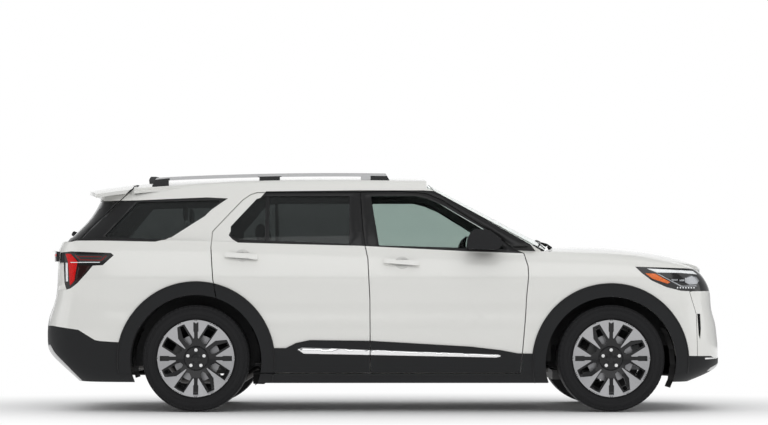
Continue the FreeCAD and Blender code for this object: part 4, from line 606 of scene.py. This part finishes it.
TAIL_ZONES = [
    # finish, outline, lift
    ("red", [(63.9, 253.8), (69.5, 253.8), (77.1, 261.7), (74.1, 281.1), (69.5, 285.7), (66.9, 262.0)],
     0.0022),
    ("lamp_white", [(64.2, 262.8), (66.4, 262.8), (67.2, 281.6), (65.0, 281.6)], 0.0022),
    ("smoke_grey", [(73.0, 254.6), (110.2, 255.0), (106.2, 259.7), (100.6, 262.0), (79.0, 262.0)], 0.0018),
    ("red_line", [(73.9, 254.9), (75.1, 254.9), (80.5, 259.6), (101.2, 260.1), (106.2, 255.7), (106.9, 256.1),
                  (101.8, 260.9), (80.1, 260.4)], 0.0024),
    ("red_line", [(77.0, 256.4), (102.0, 256.8), (102.0, 257.4), (77.4, 257.0)], 0.0024),
    ("red_dark", [(77.7, 265.2), (91.4, 266.0), (76.9, 282.8), (75.0, 281.8)], 0.0018),
    ("lamp_white", [(69.6, 262.2), (100.1, 262.2), (100.1, 262.9), (69.6, 262.9)], 0.0026),
]
HEAD_ZONES = [
    ("lamp_white", [(645.5, 268.9), (693.5, 271.2), (698.5, 274.4), (679.2, 273.1), (655.5, 272.9)], 0.0022),
    ("amber", [(643.9, 273.6), (653.7, 274.0), (669.0, 282.4), (666.4, 284.0), (650.6, 278.9)], 0.0022),
    ("lamp_silver", [(655.0, 273.9), (656.8, 273.9), (680.8, 285.8), (697.6, 285.4), (697.6, 286.4),
                     (680.0, 286.8)], 0.0026),
    ("lamp_silver", [(684.5, 278.0), (690.5, 275.4), (697.0, 276.6), (700.0, 280.6), (697.5, 284.4),
                     (689.5, 284.9), (684.5, 282.4)], 0.0018),
    ("lamp_silver", [(669.6, 279.2), (676.8, 279.2), (676.8, 280.8), (671.4, 280.8)], 0.0022),
    ("lamp_silver", [(678.6, 279.6), (684.0, 279.6), (684.0, 281.4), (678.6, 281.4)], 0.0022),
]
for k in range(7):
    dot = 676.0 + 2.9 * k
    square = [(dot, 287.2), (dot + 1.3, 287.2), (dot + 1.3, 288.6), (dot, 288.6)]
    HEAD_ZONES.append(("lamp_white", square, 0.0026))
RAIL_FEET = [
    [(150.0, 190.0), (150.0, 180.4), (169.6, 178.3), (169.6, 190.0)],
    [(257.8, 183.0), (257.8, 176.7), (281.5, 176.2), (281.5, 183.0)],
    [(370.5, 184.0), (370.5, 175.9), (392.0, 176.2), (392.0, 184.0)],
]
# Middles (x, y) in the picture of the door handles' cups, and the size of the painted shade round each
HANDLE_CUPS = (("front", 402.1, 262.9), ("rear", 242.7, 255.6))
CUP_HALF_WIDTH, CUP_HEIGHT = 7.3, 6.2
GATE_LAMPS = [
    # name, half outline (y, z) of the view from behind, finish, lift
    ("gate_lamp", ((0.50, 1.102), (0.74, 1.100), (0.752, 1.130), (0.740, 1.170), (0.50, 1.165)), "smoke",
     0.024),
    ("gate_lamp_line", ((0.52, 1.138), (0.738, 1.136), (0.738, 1.152), (0.52, 1.152)), "red", 0.0255),
]


def films():
    """All films of both sides."""
    for side, sign in SIDES:
        for name, node, body, outline, material, how in SIDE_FILMS:
            name, node, body = (text.format(side=side) for text in (name, node, body))
            film(name, node, body, outline, material, side, **how)
        for k, (material, outline, lift) in enumerate(TAIL_ZONES):
            film(f"tail_zone_{k}_{side}", "tail_lamps", "root", picture(outline, 0.93), material, side, lift,
                 least=0.05)
        for k, (material, outline, lift) in enumerate(HEAD_ZONES):
            film(f"head_zone_{k}_{side}", "headlamps", "root", picture(outline, 0.88), material, side, lift,
                 least=0.02)
        for k, foot in enumerate(RAIL_FEET):
            film(f"rail_foot_{k}_{side}", "roof_rails", "root", picture(foot, 0.62), "gloss_black", side,
                 inner=0.2)
        # Crescents of painted shade above and below each door handle: darker paint where its cup's recess lies
        # in shade
        for end, x, y in HANDLE_CUPS:
            door = f"{end}_door_{side}"
            for k, turn in enumerate((1, -1)):
                arc = [(x + CUP_HALF_WIDTH * math.cos(math.radians(a)),
                        y - turn * CUP_HEIGHT * math.sin(math.radians(a))) for a in range(24, 157, 12)]
                film(f"handle_cup_{k}_{end}_{side}", door, door, picture(arc, 0.96), "painted_cup_shade", side,
                     lift=0.0006)
        for name, half, material, lift in GATE_LAMPS:
            outline = [(sign * y, z) for y, z in half]
            rear_film(f"{name}_{side}", outline, material, lift)


films()


# Lips of the arches, tread and ribs

LIP_RADIUS, LIP_THICKNESS = 0.571, 0.005
TREAD_ROWS = [
    # middle and width across the tyre, blocks round it, shift in blocks
    (-0.108, 0.040, 64, 0.0), (-0.054, 0.038, 72, 0.5), (0.0, 0.040, 72, 0.0), (0.054, 0.038, 72, 0.5),
    (0.108, 0.040, 64, 0.0),
]
TREAD_RADII, TREAD_FILL, TREAD_SLANT, TREAD_DROP = (0.3835, 0.3898), 0.80, 0.35, 0.0035
SHOULDER = ((0.1305, 0.3735), (0.1345, 0.3595))  # distance from the tyre's middle, radius
SHOULDER_RIBS, SHOULDER_FILL, SHOULDER_LIFT = 64, 0.72, 0.0022
TYRE_RIBS = ((0.352, 0.1372, 0.0016), (0.318, 0.1362, 0.0020), (0.297, 0.1275, 0.0022))
BLOCK_FACES = ((4, 5, 6, 7), (0, 1, 5, 4), (1, 2, 6, 5), (2, 3, 7, 6), (3, 0, 4, 7))


def arch_lips():
    """The darker raised lip along the outer edge of each arch's trim, a run to each piece that carries it."""
    for side, sign in SIDES:
        for carrier, body in ((f"front_door_trim_{side}", f"front_door_{side}"),
                              (f"rear_door_trim_{side}", f"rear_door_{side}"), ("body_trim", "root")):
            tree = skin_tree(carrier)
            for end, x, z in ARCHES:
                points = []
                for k in range(181):
                    angle = math.radians(-20 + k * 220 / 180)
                    at = (x + LIP_RADIUS * math.cos(angle), sign * 2.0, z + LIP_RADIUS * math.sin(angle))
                    point = tree.ray_cast(Vector(at), Vector((0, -sign, 0)))[0]
                    points.append(point if point is not None and abs(point.y) > 0.8 else None)
                for stop, run in unbroken(points, 3):
                    tube_along(f"arch_lip_{end}_{body}_{side}_{stop}", [run], LIP_THICKNESS, "lip", body)


def on_wheel(x, y, radius, angle):
    """A point round an axle at x."""
    return x + radius * math.cos(angle), y, WHEEL_Z + radius * math.sin(angle)


def add_block(bm, corners):
    """A block without its hidden underside, from four lower and four upper corners."""
    points = [bm.verts.new(corner) for corner in corners]
    for face in BLOCK_FACES:
        bm.faces.new([points[i] for i in face])


def tread_blocks(bm, x, y):
    """Rows of slanted blocks round a tyre."""
    for middle, wide, count, shift in TREAD_ROWS:
        half = math.pi / count * TREAD_FILL
        for k in range(count):
            angle = 2 * math.pi * (k + shift) / count
            corners = []
            for radius in TREAD_RADII:
                for turn, across in ((-half, -0.5), (half, -0.5), (half, 0.5), (-half, 0.5)):
                    edge = middle + across * wide
                    drop = TREAD_DROP if abs(edge) > 0.11 else 0.0
                    slant = TREAD_SLANT * (across if middle < 0 else -across) * half
                    corners.append(on_wheel(x, y + edge, radius - drop, angle + turn + slant))
            add_block(bm, corners)


def shoulder_ribs(bm, x, y):
    """Short ribs round both shoulders of a tyre."""
    half = math.pi / SHOULDER_RIBS * SHOULDER_FILL
    for k in range(SHOULDER_RIBS):
        angle = 2 * math.pi * k / SHOULDER_RIBS
        for flip in (1, -1):
            corners = []
            for lift in (0.0, SHOULDER_LIFT):
                for turn, which in ((-half, 0), (half, 0), (half, 1), (-half, 1)):
                    out, radius = SHOULDER[which]
                    corners.append(on_wheel(x, y + flip * (out + lift), radius + lift, angle + turn))
            add_block(bm, corners)


def tyre_details():
    """Tread and shoulders of each tyre in one mesh, and the rings on its outer wall."""
    for side, sign in SIDES:
        for end, x in AXLES:
            wheel = f"{end}_wheel_{side}"
            bm = bmesh.new()
            tread_blocks(bm, x, sign * WHEEL_Y)
            shoulder_ribs(bm, x, sign * WHEEL_Y)
            bmesh.ops.recalc_face_normals(bm, faces=bm.faces[:])
            add_mesh(f"tread_{end}_{side}", bm, "tyre", wheel, flat=True)
            for k, (radius, out, thick) in enumerate(TYRE_RIBS):
                ring = [on_wheel(x, sign * (WHEEL_Y + out), radius, 2 * math.pi * j / 96) for j in range(96)]
                tube_along(f"tyre_rib_{k}_{end}_{side}", [ring], thick, "tyre", wheel, closed=True)


arch_lips()
tyre_details()


# Seats; their outlines are shares of the wheelbase behind the front axle and of the height

CUSHION = [(0.409, 0.232), (0.402, 0.325), (0.421, 0.355), (0.475, 0.347), (0.530, 0.336), (0.556, 0.325),
           (0.556, 0.234)]
BACK = [(0.539, 0.356), (0.556, 0.500), (0.5705, 0.650), (0.5725, 0.690), (0.5925, 0.694), (0.5955, 0.650),
        (0.5865, 0.480), (0.5750, 0.330), (0.5450, 0.330)]
HEAD_REST = [(0.5715, 0.716), (0.5715, 0.760), (0.5775, 0.787), (0.5895, 0.787), (0.5965, 0.758),
             (0.5955, 0.714)]
FOOT = [(0.432, 0.2005), (0.432, 0.240), (0.548, 0.240), (0.548, 0.2005)]
POST = [(0.583, 0.676), (0.584, 0.735)]
CHANNELS = [(0.44, 0.45), (0.475, 0.50), (0.51, 0.55), (0.51, 0.60)]
SEAT_ROWS = [
    # node, step back, rise, widths from y to y, places of the head rests
    ("front_seats", 0.0, 0.0, [(-0.637, -0.155), (0.155, 0.637)], [-0.396, 0.396]),
    ("second_row_seat", 0.27, 0.0, [(-0.637, -0.122), (-0.114, 0.114), (0.122, 0.637)], [-0.38, 0.0, 0.38]),
    ("third_row_seat", 0.53, 0.085, [(-0.547, -0.004), (0.004, 0.547)], [-0.30, 0.30]),
]
PAD_VOXEL, PAD_MOVE, PAD_PRESSURE, PAD_FRAMES = 0.020, 0.022, 4, 20
PAD_INSET, FOOT_INSET = 0.012, 0.020
HEAD_HALF, MIDDLE_HEAD_HALF = 0.125, 0.095
POST_APART, POST_RADIUS, PIPING_RADIUS = 0.052, 0.006, 0.0028
SEAM_SHARE = 0.24  # of a pad's width, from its sides to the sewn channels


def side_view(shares, step, rise):
    """Places of the side view from shares of the wheelbase and of the height."""
    return [Vector((station(u + step), (z + rise) * HEIGHT)) for u, z in shares]


def pad_form(name, outline, y0, y1, pull=0.16):
    """A closed form between two widths whose outline draws in towards both ends."""
    middle = sum(outline, Vector((0, 0))) / len(outline)
    bm = bmesh.new()
    rings = []
    for k in range(13):
        t = -1 + k / 6
        share = 1 - pull * abs(t) ** 8
        y = (y0 + y1) / 2 + (y1 - y0) / 2 * t
        rings.append([bm.verts.new((middle.x + (p.x - middle.x) * share, y,
                                    middle.y + (p.y - middle.y) * share)) for p in outline])
    for near, far in zip(rings, rings[1:]):
        for k in range(len(outline)):
            bm.faces.new((near[k - 1], near[k], far[k], far[k - 1]))
    bm.faces.new(rings[0])
    bm.faces.new(rings[-1][::-1])
    bmesh.ops.recalc_face_normals(bm, faces=bm.faces[:])
    mesh = bpy.data.meshes.new(name)
    bm.to_mesh(mesh)
    bm.free()
    return add_object(name, mesh)


def apply_all(items):
    """Puts the items' modifiers into their meshes and leaves none on them."""
    graph = bpy.context.evaluated_depsgraph_get()
    meshes = [bpy.data.meshes.new_from_object(item.evaluated_get(graph)) for item in items]
    for item, mesh in zip(items, meshes):
        item.modifiers.clear()
        item.data = mesh


def inflate(items):
    """Fills the pads with a cloth simulation and caps how far each point may move."""
    for item in items:
        remesh = item.modifiers.new("remesh", "REMESH")
        remesh.mode = "VOXEL"
        remesh.voxel_size = PAD_VOXEL
    apply_all(items)
    starts = {item.name: [v.co.copy() for v in item.data.vertices] for item in items}
    for item in items:
        cloth = item.modifiers.new("cloth", "CLOTH")
        cloth.settings.use_pressure = True
        cloth.settings.uniform_pressure_force = PAD_PRESSURE
        cloth.settings.effector_weights.gravity = 0
        cloth.settings.quality = 4
        cloth.point_cache.frame_start = 1
        cloth.point_cache.frame_end = PAD_FRAMES
    for frame_number in range(1, PAD_FRAMES + 1):
        scene.frame_set(frame_number)
    apply_all(items)
    for item in items:
        for vertex, start in zip(item.data.vertices, starts[item.name]):
            move = vertex.co - start
            if move.length > PAD_MOVE:
                vertex.co = start + move * (PAD_MOVE / move.length)
    scene.frame_set(1)
    for item in items:
        item.modifiers.new("rounding", "SUBSURF").levels = 1
    apply_all(items)


def keep_within(item, low, high):
    """Presses what has swollen past a box back onto its sides, as a neighbour does."""
    for vertex in item.data.vertices:
        for k in range(3):
            vertex.co[k] = min(max(vertex.co[k], low[k]), high[k])


def sew(item, lines, facing, axis, deep=0.006, wide=0.011):
    """Sewn channels: grooves at the lines' places along an axis, on the side that faces one way."""
    normals = [vertex.normal.copy() for vertex in item.data.vertices]
    for vertex, normal in zip(item.data.vertices, normals):
        turned = max(0.0, normal.dot(facing))
        sink = sum(math.exp(-((vertex.co[axis] - line) / wide) ** 2) for line in lines)
        vertex.co -= normal * (deep * min(1.0, sink) * turned ** 2)


def piping(item, y, node):
    """A bead along a pad's side seam."""
    places = [v.co for v in item.data.vertices]
    tree = BVHTree.FromPolygons(places, [p.vertices for p in item.data.polygons])
    middle = sum(places, Vector()) / len(places)
    ring = []
    for k in range(72):
        angle = 2 * math.pi * k / 72
        way = Vector((math.cos(angle), 0, math.sin(angle)))
        hit = tree.ray_cast(Vector((middle.x, y, middle.z)) + way, -way)
        if hit[0] is not None:
            ring.append(hit[0])
    name = f"{item.name}_piping_{round((y + 2) * 1000)}"
    bead = tube_along(name, [ring], PIPING_RADIUS, "stitch_dark", "root", closed=True)
    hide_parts(node)


def sew_pad(item, part, step, rise, y0, y1):
    """The channels of a cushion or a back: two along it and some across."""
    wide = y1 - y0
    facing = Vector((0, 0, 1)) if part == "cushion" else Vector((1, 0, 0))
    sew(item, [y0 + wide * SEAM_SHARE, y1 - wide * SEAM_SHARE], facing, 1)
    places = side_view(CHANNELS, step, rise)
    if part == "cushion":
        sew(item, [p.x for p in places[:3]], facing, 0, deep=0.004)
    else:
        sew(item, [p.y for p in places], facing, 2, deep=0.004)


def seats():
    """The three rows: cushions, backs and head rests as filled pads, on plain feet and posts."""
    soft, rows, feet = [], [], []
    for node, step, rise, spans, heads in SEAT_ROWS:
        for k, (y0, y1) in enumerate(spans):
            foot = pad_form(f"{node}_foot_{k}", side_view(FOOT, step, rise), y0 + FOOT_INSET, y1 - FOOT_INSET,
                            pull=0.04)
            foot.modifiers.new("edge", "BEVEL").width = 0.006
            feet.append(foot)
            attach(foot, "root")
            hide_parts(node)
            for part, shares in (("cushion", CUSHION), ("back", BACK)):
                item = pad_form(f"{node}_{part}_{k}", side_view(shares, step, rise), y0 + PAD_INSET,
                                y1 - PAD_INSET)
                soft.append(item)
                rows.append((item, part, node, step, rise, y0, y1))
        for k, y in enumerate(heads):
            half = HEAD_HALF if abs(y) > 0.2 or node != "second_row_seat" else MIDDLE_HEAD_HALF
            item = pad_form(f"{node}_head_{k}", side_view(HEAD_REST, step, rise), y - half, y + half, pull=0.3)
            soft.append(item)
            rows.append((item, "head", node, step, rise, y - half - PAD_INSET, y + half + PAD_INSET))
            for flip in (-1, 1):
                points = [(p.x, y + flip * POST_APART, p.y) for p in side_view(POST, step, rise)]
                post = tube_along(f"{node}_post_{k}_{(flip + 1) // 2}", [points], POST_RADIUS, "chrome", "root")
                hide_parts(node)
    apply_all(feet)
    for foot in feet:
        foot.data.materials.append(MATERIALS["cabin_plastic"])
    inflate(soft)
    for item, part, node, step, rise, y0, y1 in rows:
        low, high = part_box(node)
        keep_within(item, (low[0], y0 + 0.001, low[2]), (high[0], y1 - 0.001, high[2]))
        item.data.update()
        if part != "head" and y1 - y0 > 0.3:
            sew_pad(item, part, step, rise, y0, y1)
        for face in item.data.polygons:
            face.use_smooth = True
        item.data.materials.clear()
        item.data.materials.append(MATERIALS["leather"])
        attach(item, "root")
        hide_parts(node)
        if part != "head":
            inset = min(0.05, (y1 - y0) * 0.16)
            piping(item, y0 + inset, node)
            piping(item, y1 - inset, node)


seats()


# Wipers

BLADE_OFF, BLADE_RADIUS = 0.010, 0.0055
RUBBER_OFF, RUBBER_RADIUS, ARM_RADIUS = 0.0045, 0.0030, 0.0065


def on_glass(tree, ends, way, off):
    """Points a little off the glass, between two ends (y, z), where rays along x meet it."""
    (y0, z0), (y1, z1) = ends
    run = []
    for k in range(25):
        t = k / 24
        start = Vector((-way * 3.0, y0 + (y1 - y0) * t, z0 + (z1 - z0) * t))
        hit = tree.ray_cast(start, Vector((way, 0, 0)))
        if hit[0] is not None:
            run.append(hit[0] + hit[1] * off)
    return run


def wiper(name, tree, way, body, ends, pivot, cap=1.0):
    """A blade that follows the glass between two ends (y, z), its rubber, the arm and the pivot's cap."""
    pivot = Vector(pivot)
    tube_along(f"{name}_blade", [on_glass(tree, ends, way, BLADE_OFF)], BLADE_RADIUS, "lip", body)
    rubber = on_glass(tree, ends, way, RUBBER_OFF)
    tube_along(f"{name}_rubber", [rubber], RUBBER_RADIUS, "seal", body)
    grip = rubber[len(rubber) // 2] - Vector((way * 0.010, 0, 0))
    rise = (pivot + grip) / 2 + Vector((-way * 0.012, 0, 0.006))
    arm = [pivot, pivot + Vector((-way * 0.016, 0, 0)), rise, grip]
    tube_along(f"{name}_arm", [arm], ARM_RADIUS, "lip", body)
    bm = bmesh.new()
    bmesh.ops.create_cone(bm, cap_ends=True, segments=24, radius1=0.017 * cap, radius2=0.013 * cap,
                          depth=0.026 * cap)
    sharp = [e for e in bm.edges if e.calc_face_angle(0) > 0.6]
    bmesh.ops.bevel(bm, geom=sharp, offset=0.004, segments=3, affect="EDGES")
    turn = Vector((-way, 0, 0.6)).to_track_quat("Z", "Y").to_matrix().to_4x4()
    bm.transform(Matrix.Translation(pivot) @ turn)
    add_mesh(f"{name}_cap", bm, "lip", body)


screen = skin_tree("windshield")
wiper("wiper_right", screen, -1, "root", ((-0.70, 1.220), (-0.08, 1.262)), (1.232, -0.56, 1.206))
wiper("wiper_left", screen, -1, "root", ((0.06, 1.262), (0.70, 1.220)), (1.238, 0.03, 1.238))
wiper("rear_wiper", skin_tree("liftgate", "liftgate_glass"), 1, "liftgate", ((0.0, 1.305), (0.36, 1.300)),
      (-2.378, 0.0, 1.322), cap=1.4)


# Linings of the wheel arches, the sills' seals and the flaps ahead of the rear wheels

LINER_RADIUS = {"front": 0.4735, "rear": 0.462}
# Degrees round the arch, ahead of the wheel and behind it
LINER_TURNS = {"front": ((-23, 32), (198, 150)), "rear": ((-23, 32), (196, 150))}
LINER_INNER, LINER_OUTER = 0.53, 0.865
FLAP = picture([(253.6, 371.5), (264.8, 369.5), (264.8, 384.2), (253.2, 383.9)], 0.86)


def arch_liner(name, x, z, turns, y0, y1, radius, thick=0.003):
    """A ribbed splash lining round part of an arch, clear of the tyre."""
    bm = bmesh.new()
    first, last = turns
    sheets = []
    for depth in (0.0, thick):
        sheet = []
        for k in range(17):
            turn = math.radians(first + (last - first) * k / 16)
            r = radius + depth + (0.004 if k % 4 == 2 else 0.0)
            sheet.append([bm.verts.new((x + r * math.cos(turn), y, z + r * math.sin(turn)))
                          for y in (y0, y0 + (y1 - y0) * 0.5, y1)])
        sheets.append(sheet)
    shell(bm, *sheets)
    add_mesh(name, bm, "seal", "root", flat=True)


def rear_flap(side, sign):
    """The flap that hangs between the sill and the rear wheel."""
    low, high = sorted((sign * 0.60, sign * 0.86))
    flap = pad_form(f"rear_flap_{side}", FLAP, low, high, pull=0.02)
    flap.modifiers.new("edge", "BEVEL").width = 0.005
    apply_all([flap])
    flap.data.materials.append(MATERIALS["seal"])
    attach(flap, "root")


for side, sign in SIDES:
    for end, x, z in ARCHES:
        for place, turns in zip(("ahead", "behind"), LINER_TURNS[end]):
            arch_liner(f"{end}_liner_{place}_{side}", x, z, turns, sign * LINER_INNER, sign * LINER_OUTER,
                       LINER_RADIUS[end])
    sill = [(-0.955 + 0.02 * k, sign * 0.90, 0.281) for k in range(9)]
    tube_along(f"sill_seal_{side}", [sill], 0.008, "seal", "root")
    rear_flap(side, sign)


# The front: grille mesh and the shroud behind it

MESH_STEP, MESH_SLOPE, MESH_RADIUS, MESH_EDGE, MESH_TOP = 0.052, 1.25, 0.0038, 0.012, 0.93
SHROUD_THICKNESS, SHROUD_REAR_X, SHROUD_Z = 0.004, 2.10, 0.978


def grille_mesh():
    """A diamond mesh of thin bars that follows the grille's face, all one piece."""
    tree = skin_tree("grille")
    low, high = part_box("grille")
    runs = []
    for slope in (-1, 1):
        for k in range(-30, 31):
            points = []
            for j in range(29):
                z = low.z + MESH_EDGE + (high.z - low.z - 2 * MESH_EDGE) * j / 28
                y = MESH_STEP * k + slope * (z - (low.z + high.z) / 2) * MESH_SLOPE
                hit = tree.ray_cast(Vector((3.2, y, z)), Vector((-1, 0, 0)))
                on_face = hit[0] is not None and abs(y) < high.y - MESH_EDGE and hit[1].x > 0.25
                points.append(hit[0] + Vector((0.0015, 0, 0)) if on_face and z < MESH_TOP else None)
            runs += [run for _, run in unbroken(points, 2)]
    tube_along("grille_mesh", runs, MESH_RADIUS, "lip", "root", roundness=1)


def shroud():
    """The ribbed panel behind the grille's top edge, below the hood."""
    tree = skin_tree("grille")
    bm = bmesh.new()
    sheets = []
    for drop in (0.0, SHROUD_THICKNESS):
        sheet = []
        for i in range(25):
            y = -0.54 + 0.045 * i
            hit = tree.ray_cast(Vector((3.2, y, 0.955)), Vector((-1, 0, 0)))
            front = (hit[0].x if hit[0] is not None else 2.36) - 0.008
            row = []
            for j in range(9):
                t = j / 8
                rib = 0.004 if j in (3, 5) else 0.0
                z = SHROUD_Z + 0.012 * (1 - (y / 0.55) ** 2) + rib - 0.012 * (t > 0.99) - drop
                row.append(bm.verts.new((front + (SHROUD_REAR_X - front) * (1 - t), y, z)))
            sheet.append(row)
        sheets.append(sheet)
    shell(bm, *sheets)
    add_mesh("front_shroud", bm, "cabin_plastic", "root")


grille_mesh()
shroud()


# The studio's floor

def studio():
    """The pale floor: it fades to white away from the vehicle, and is white in glass and reflections."""
    bm = bmesh.new()
    bmesh.ops.create_grid(bm, x_segments=4, y_segments=4, size=60)
    mesh = bpy.data.meshes.new("floor")
    bm.to_mesh(mesh)
    bm.free()
    item = add_object("floor", mesh)
    finish("floor", (0.86, 0.86, 0.86), 0.7, 2, 0.01, 0.0002)
    tree = MATERIALS["floor"].node_tree
    link = tree.links.new
    path = add_node(tree, "ShaderNodeLightPath")
    either = add_node(tree, "ShaderNodeMath", "MAXIMUM")
    link(path.outputs["Is Glossy Ray"], either.inputs[0])
    link(path.outputs["Is Transmission Ray"], either.inputs[1])
    coordinates = add_node(tree, "ShaderNodeTexCoord")
    squeeze = add_node(tree, "ShaderNodeMapping", Scale=(0.62, 1.0, 1.0))
    length = add_node(tree, "ShaderNodeVectorMath", "LENGTH")
    fade = add_node(tree, "ShaderNodeMapRange", From_Min=1.2, From_Max=3.2)
    fade.interpolation_type = "SMOOTHSTEP"
    link(coordinates.outputs["Object"], squeeze.inputs[0])
    link(squeeze.outputs[0], length.inputs[0])
    link(length.outputs["Value"], fade.inputs["Value"])
    seen = add_node(tree, "ShaderNodeMath", "MULTIPLY")
    link(fade.outputs[0], seen.inputs[0])
    link(path.outputs["Is Camera Ray"], seen.inputs[1])
    most = add_node(tree, "ShaderNodeMath", "MAXIMUM")
    link(either.outputs[0], most.inputs[0])
    link(seen.outputs[0], most.inputs[1])
    glow = add_node(tree, "ShaderNodeEmission", Color=(1, 1, 1, 1))
    blend = add_node(tree, "ShaderNodeMixShader")
    link(most.outputs[0], blend.inputs[0])
    link(tree.nodes["Principled BSDF"].outputs[0], blend.inputs[1])
    link(glow.outputs[0], blend.inputs[2])
    link(blend.outputs[0], tree.nodes["Material Output"].inputs[0])
    mesh.materials.append(MATERIALS["floor"])


studio()
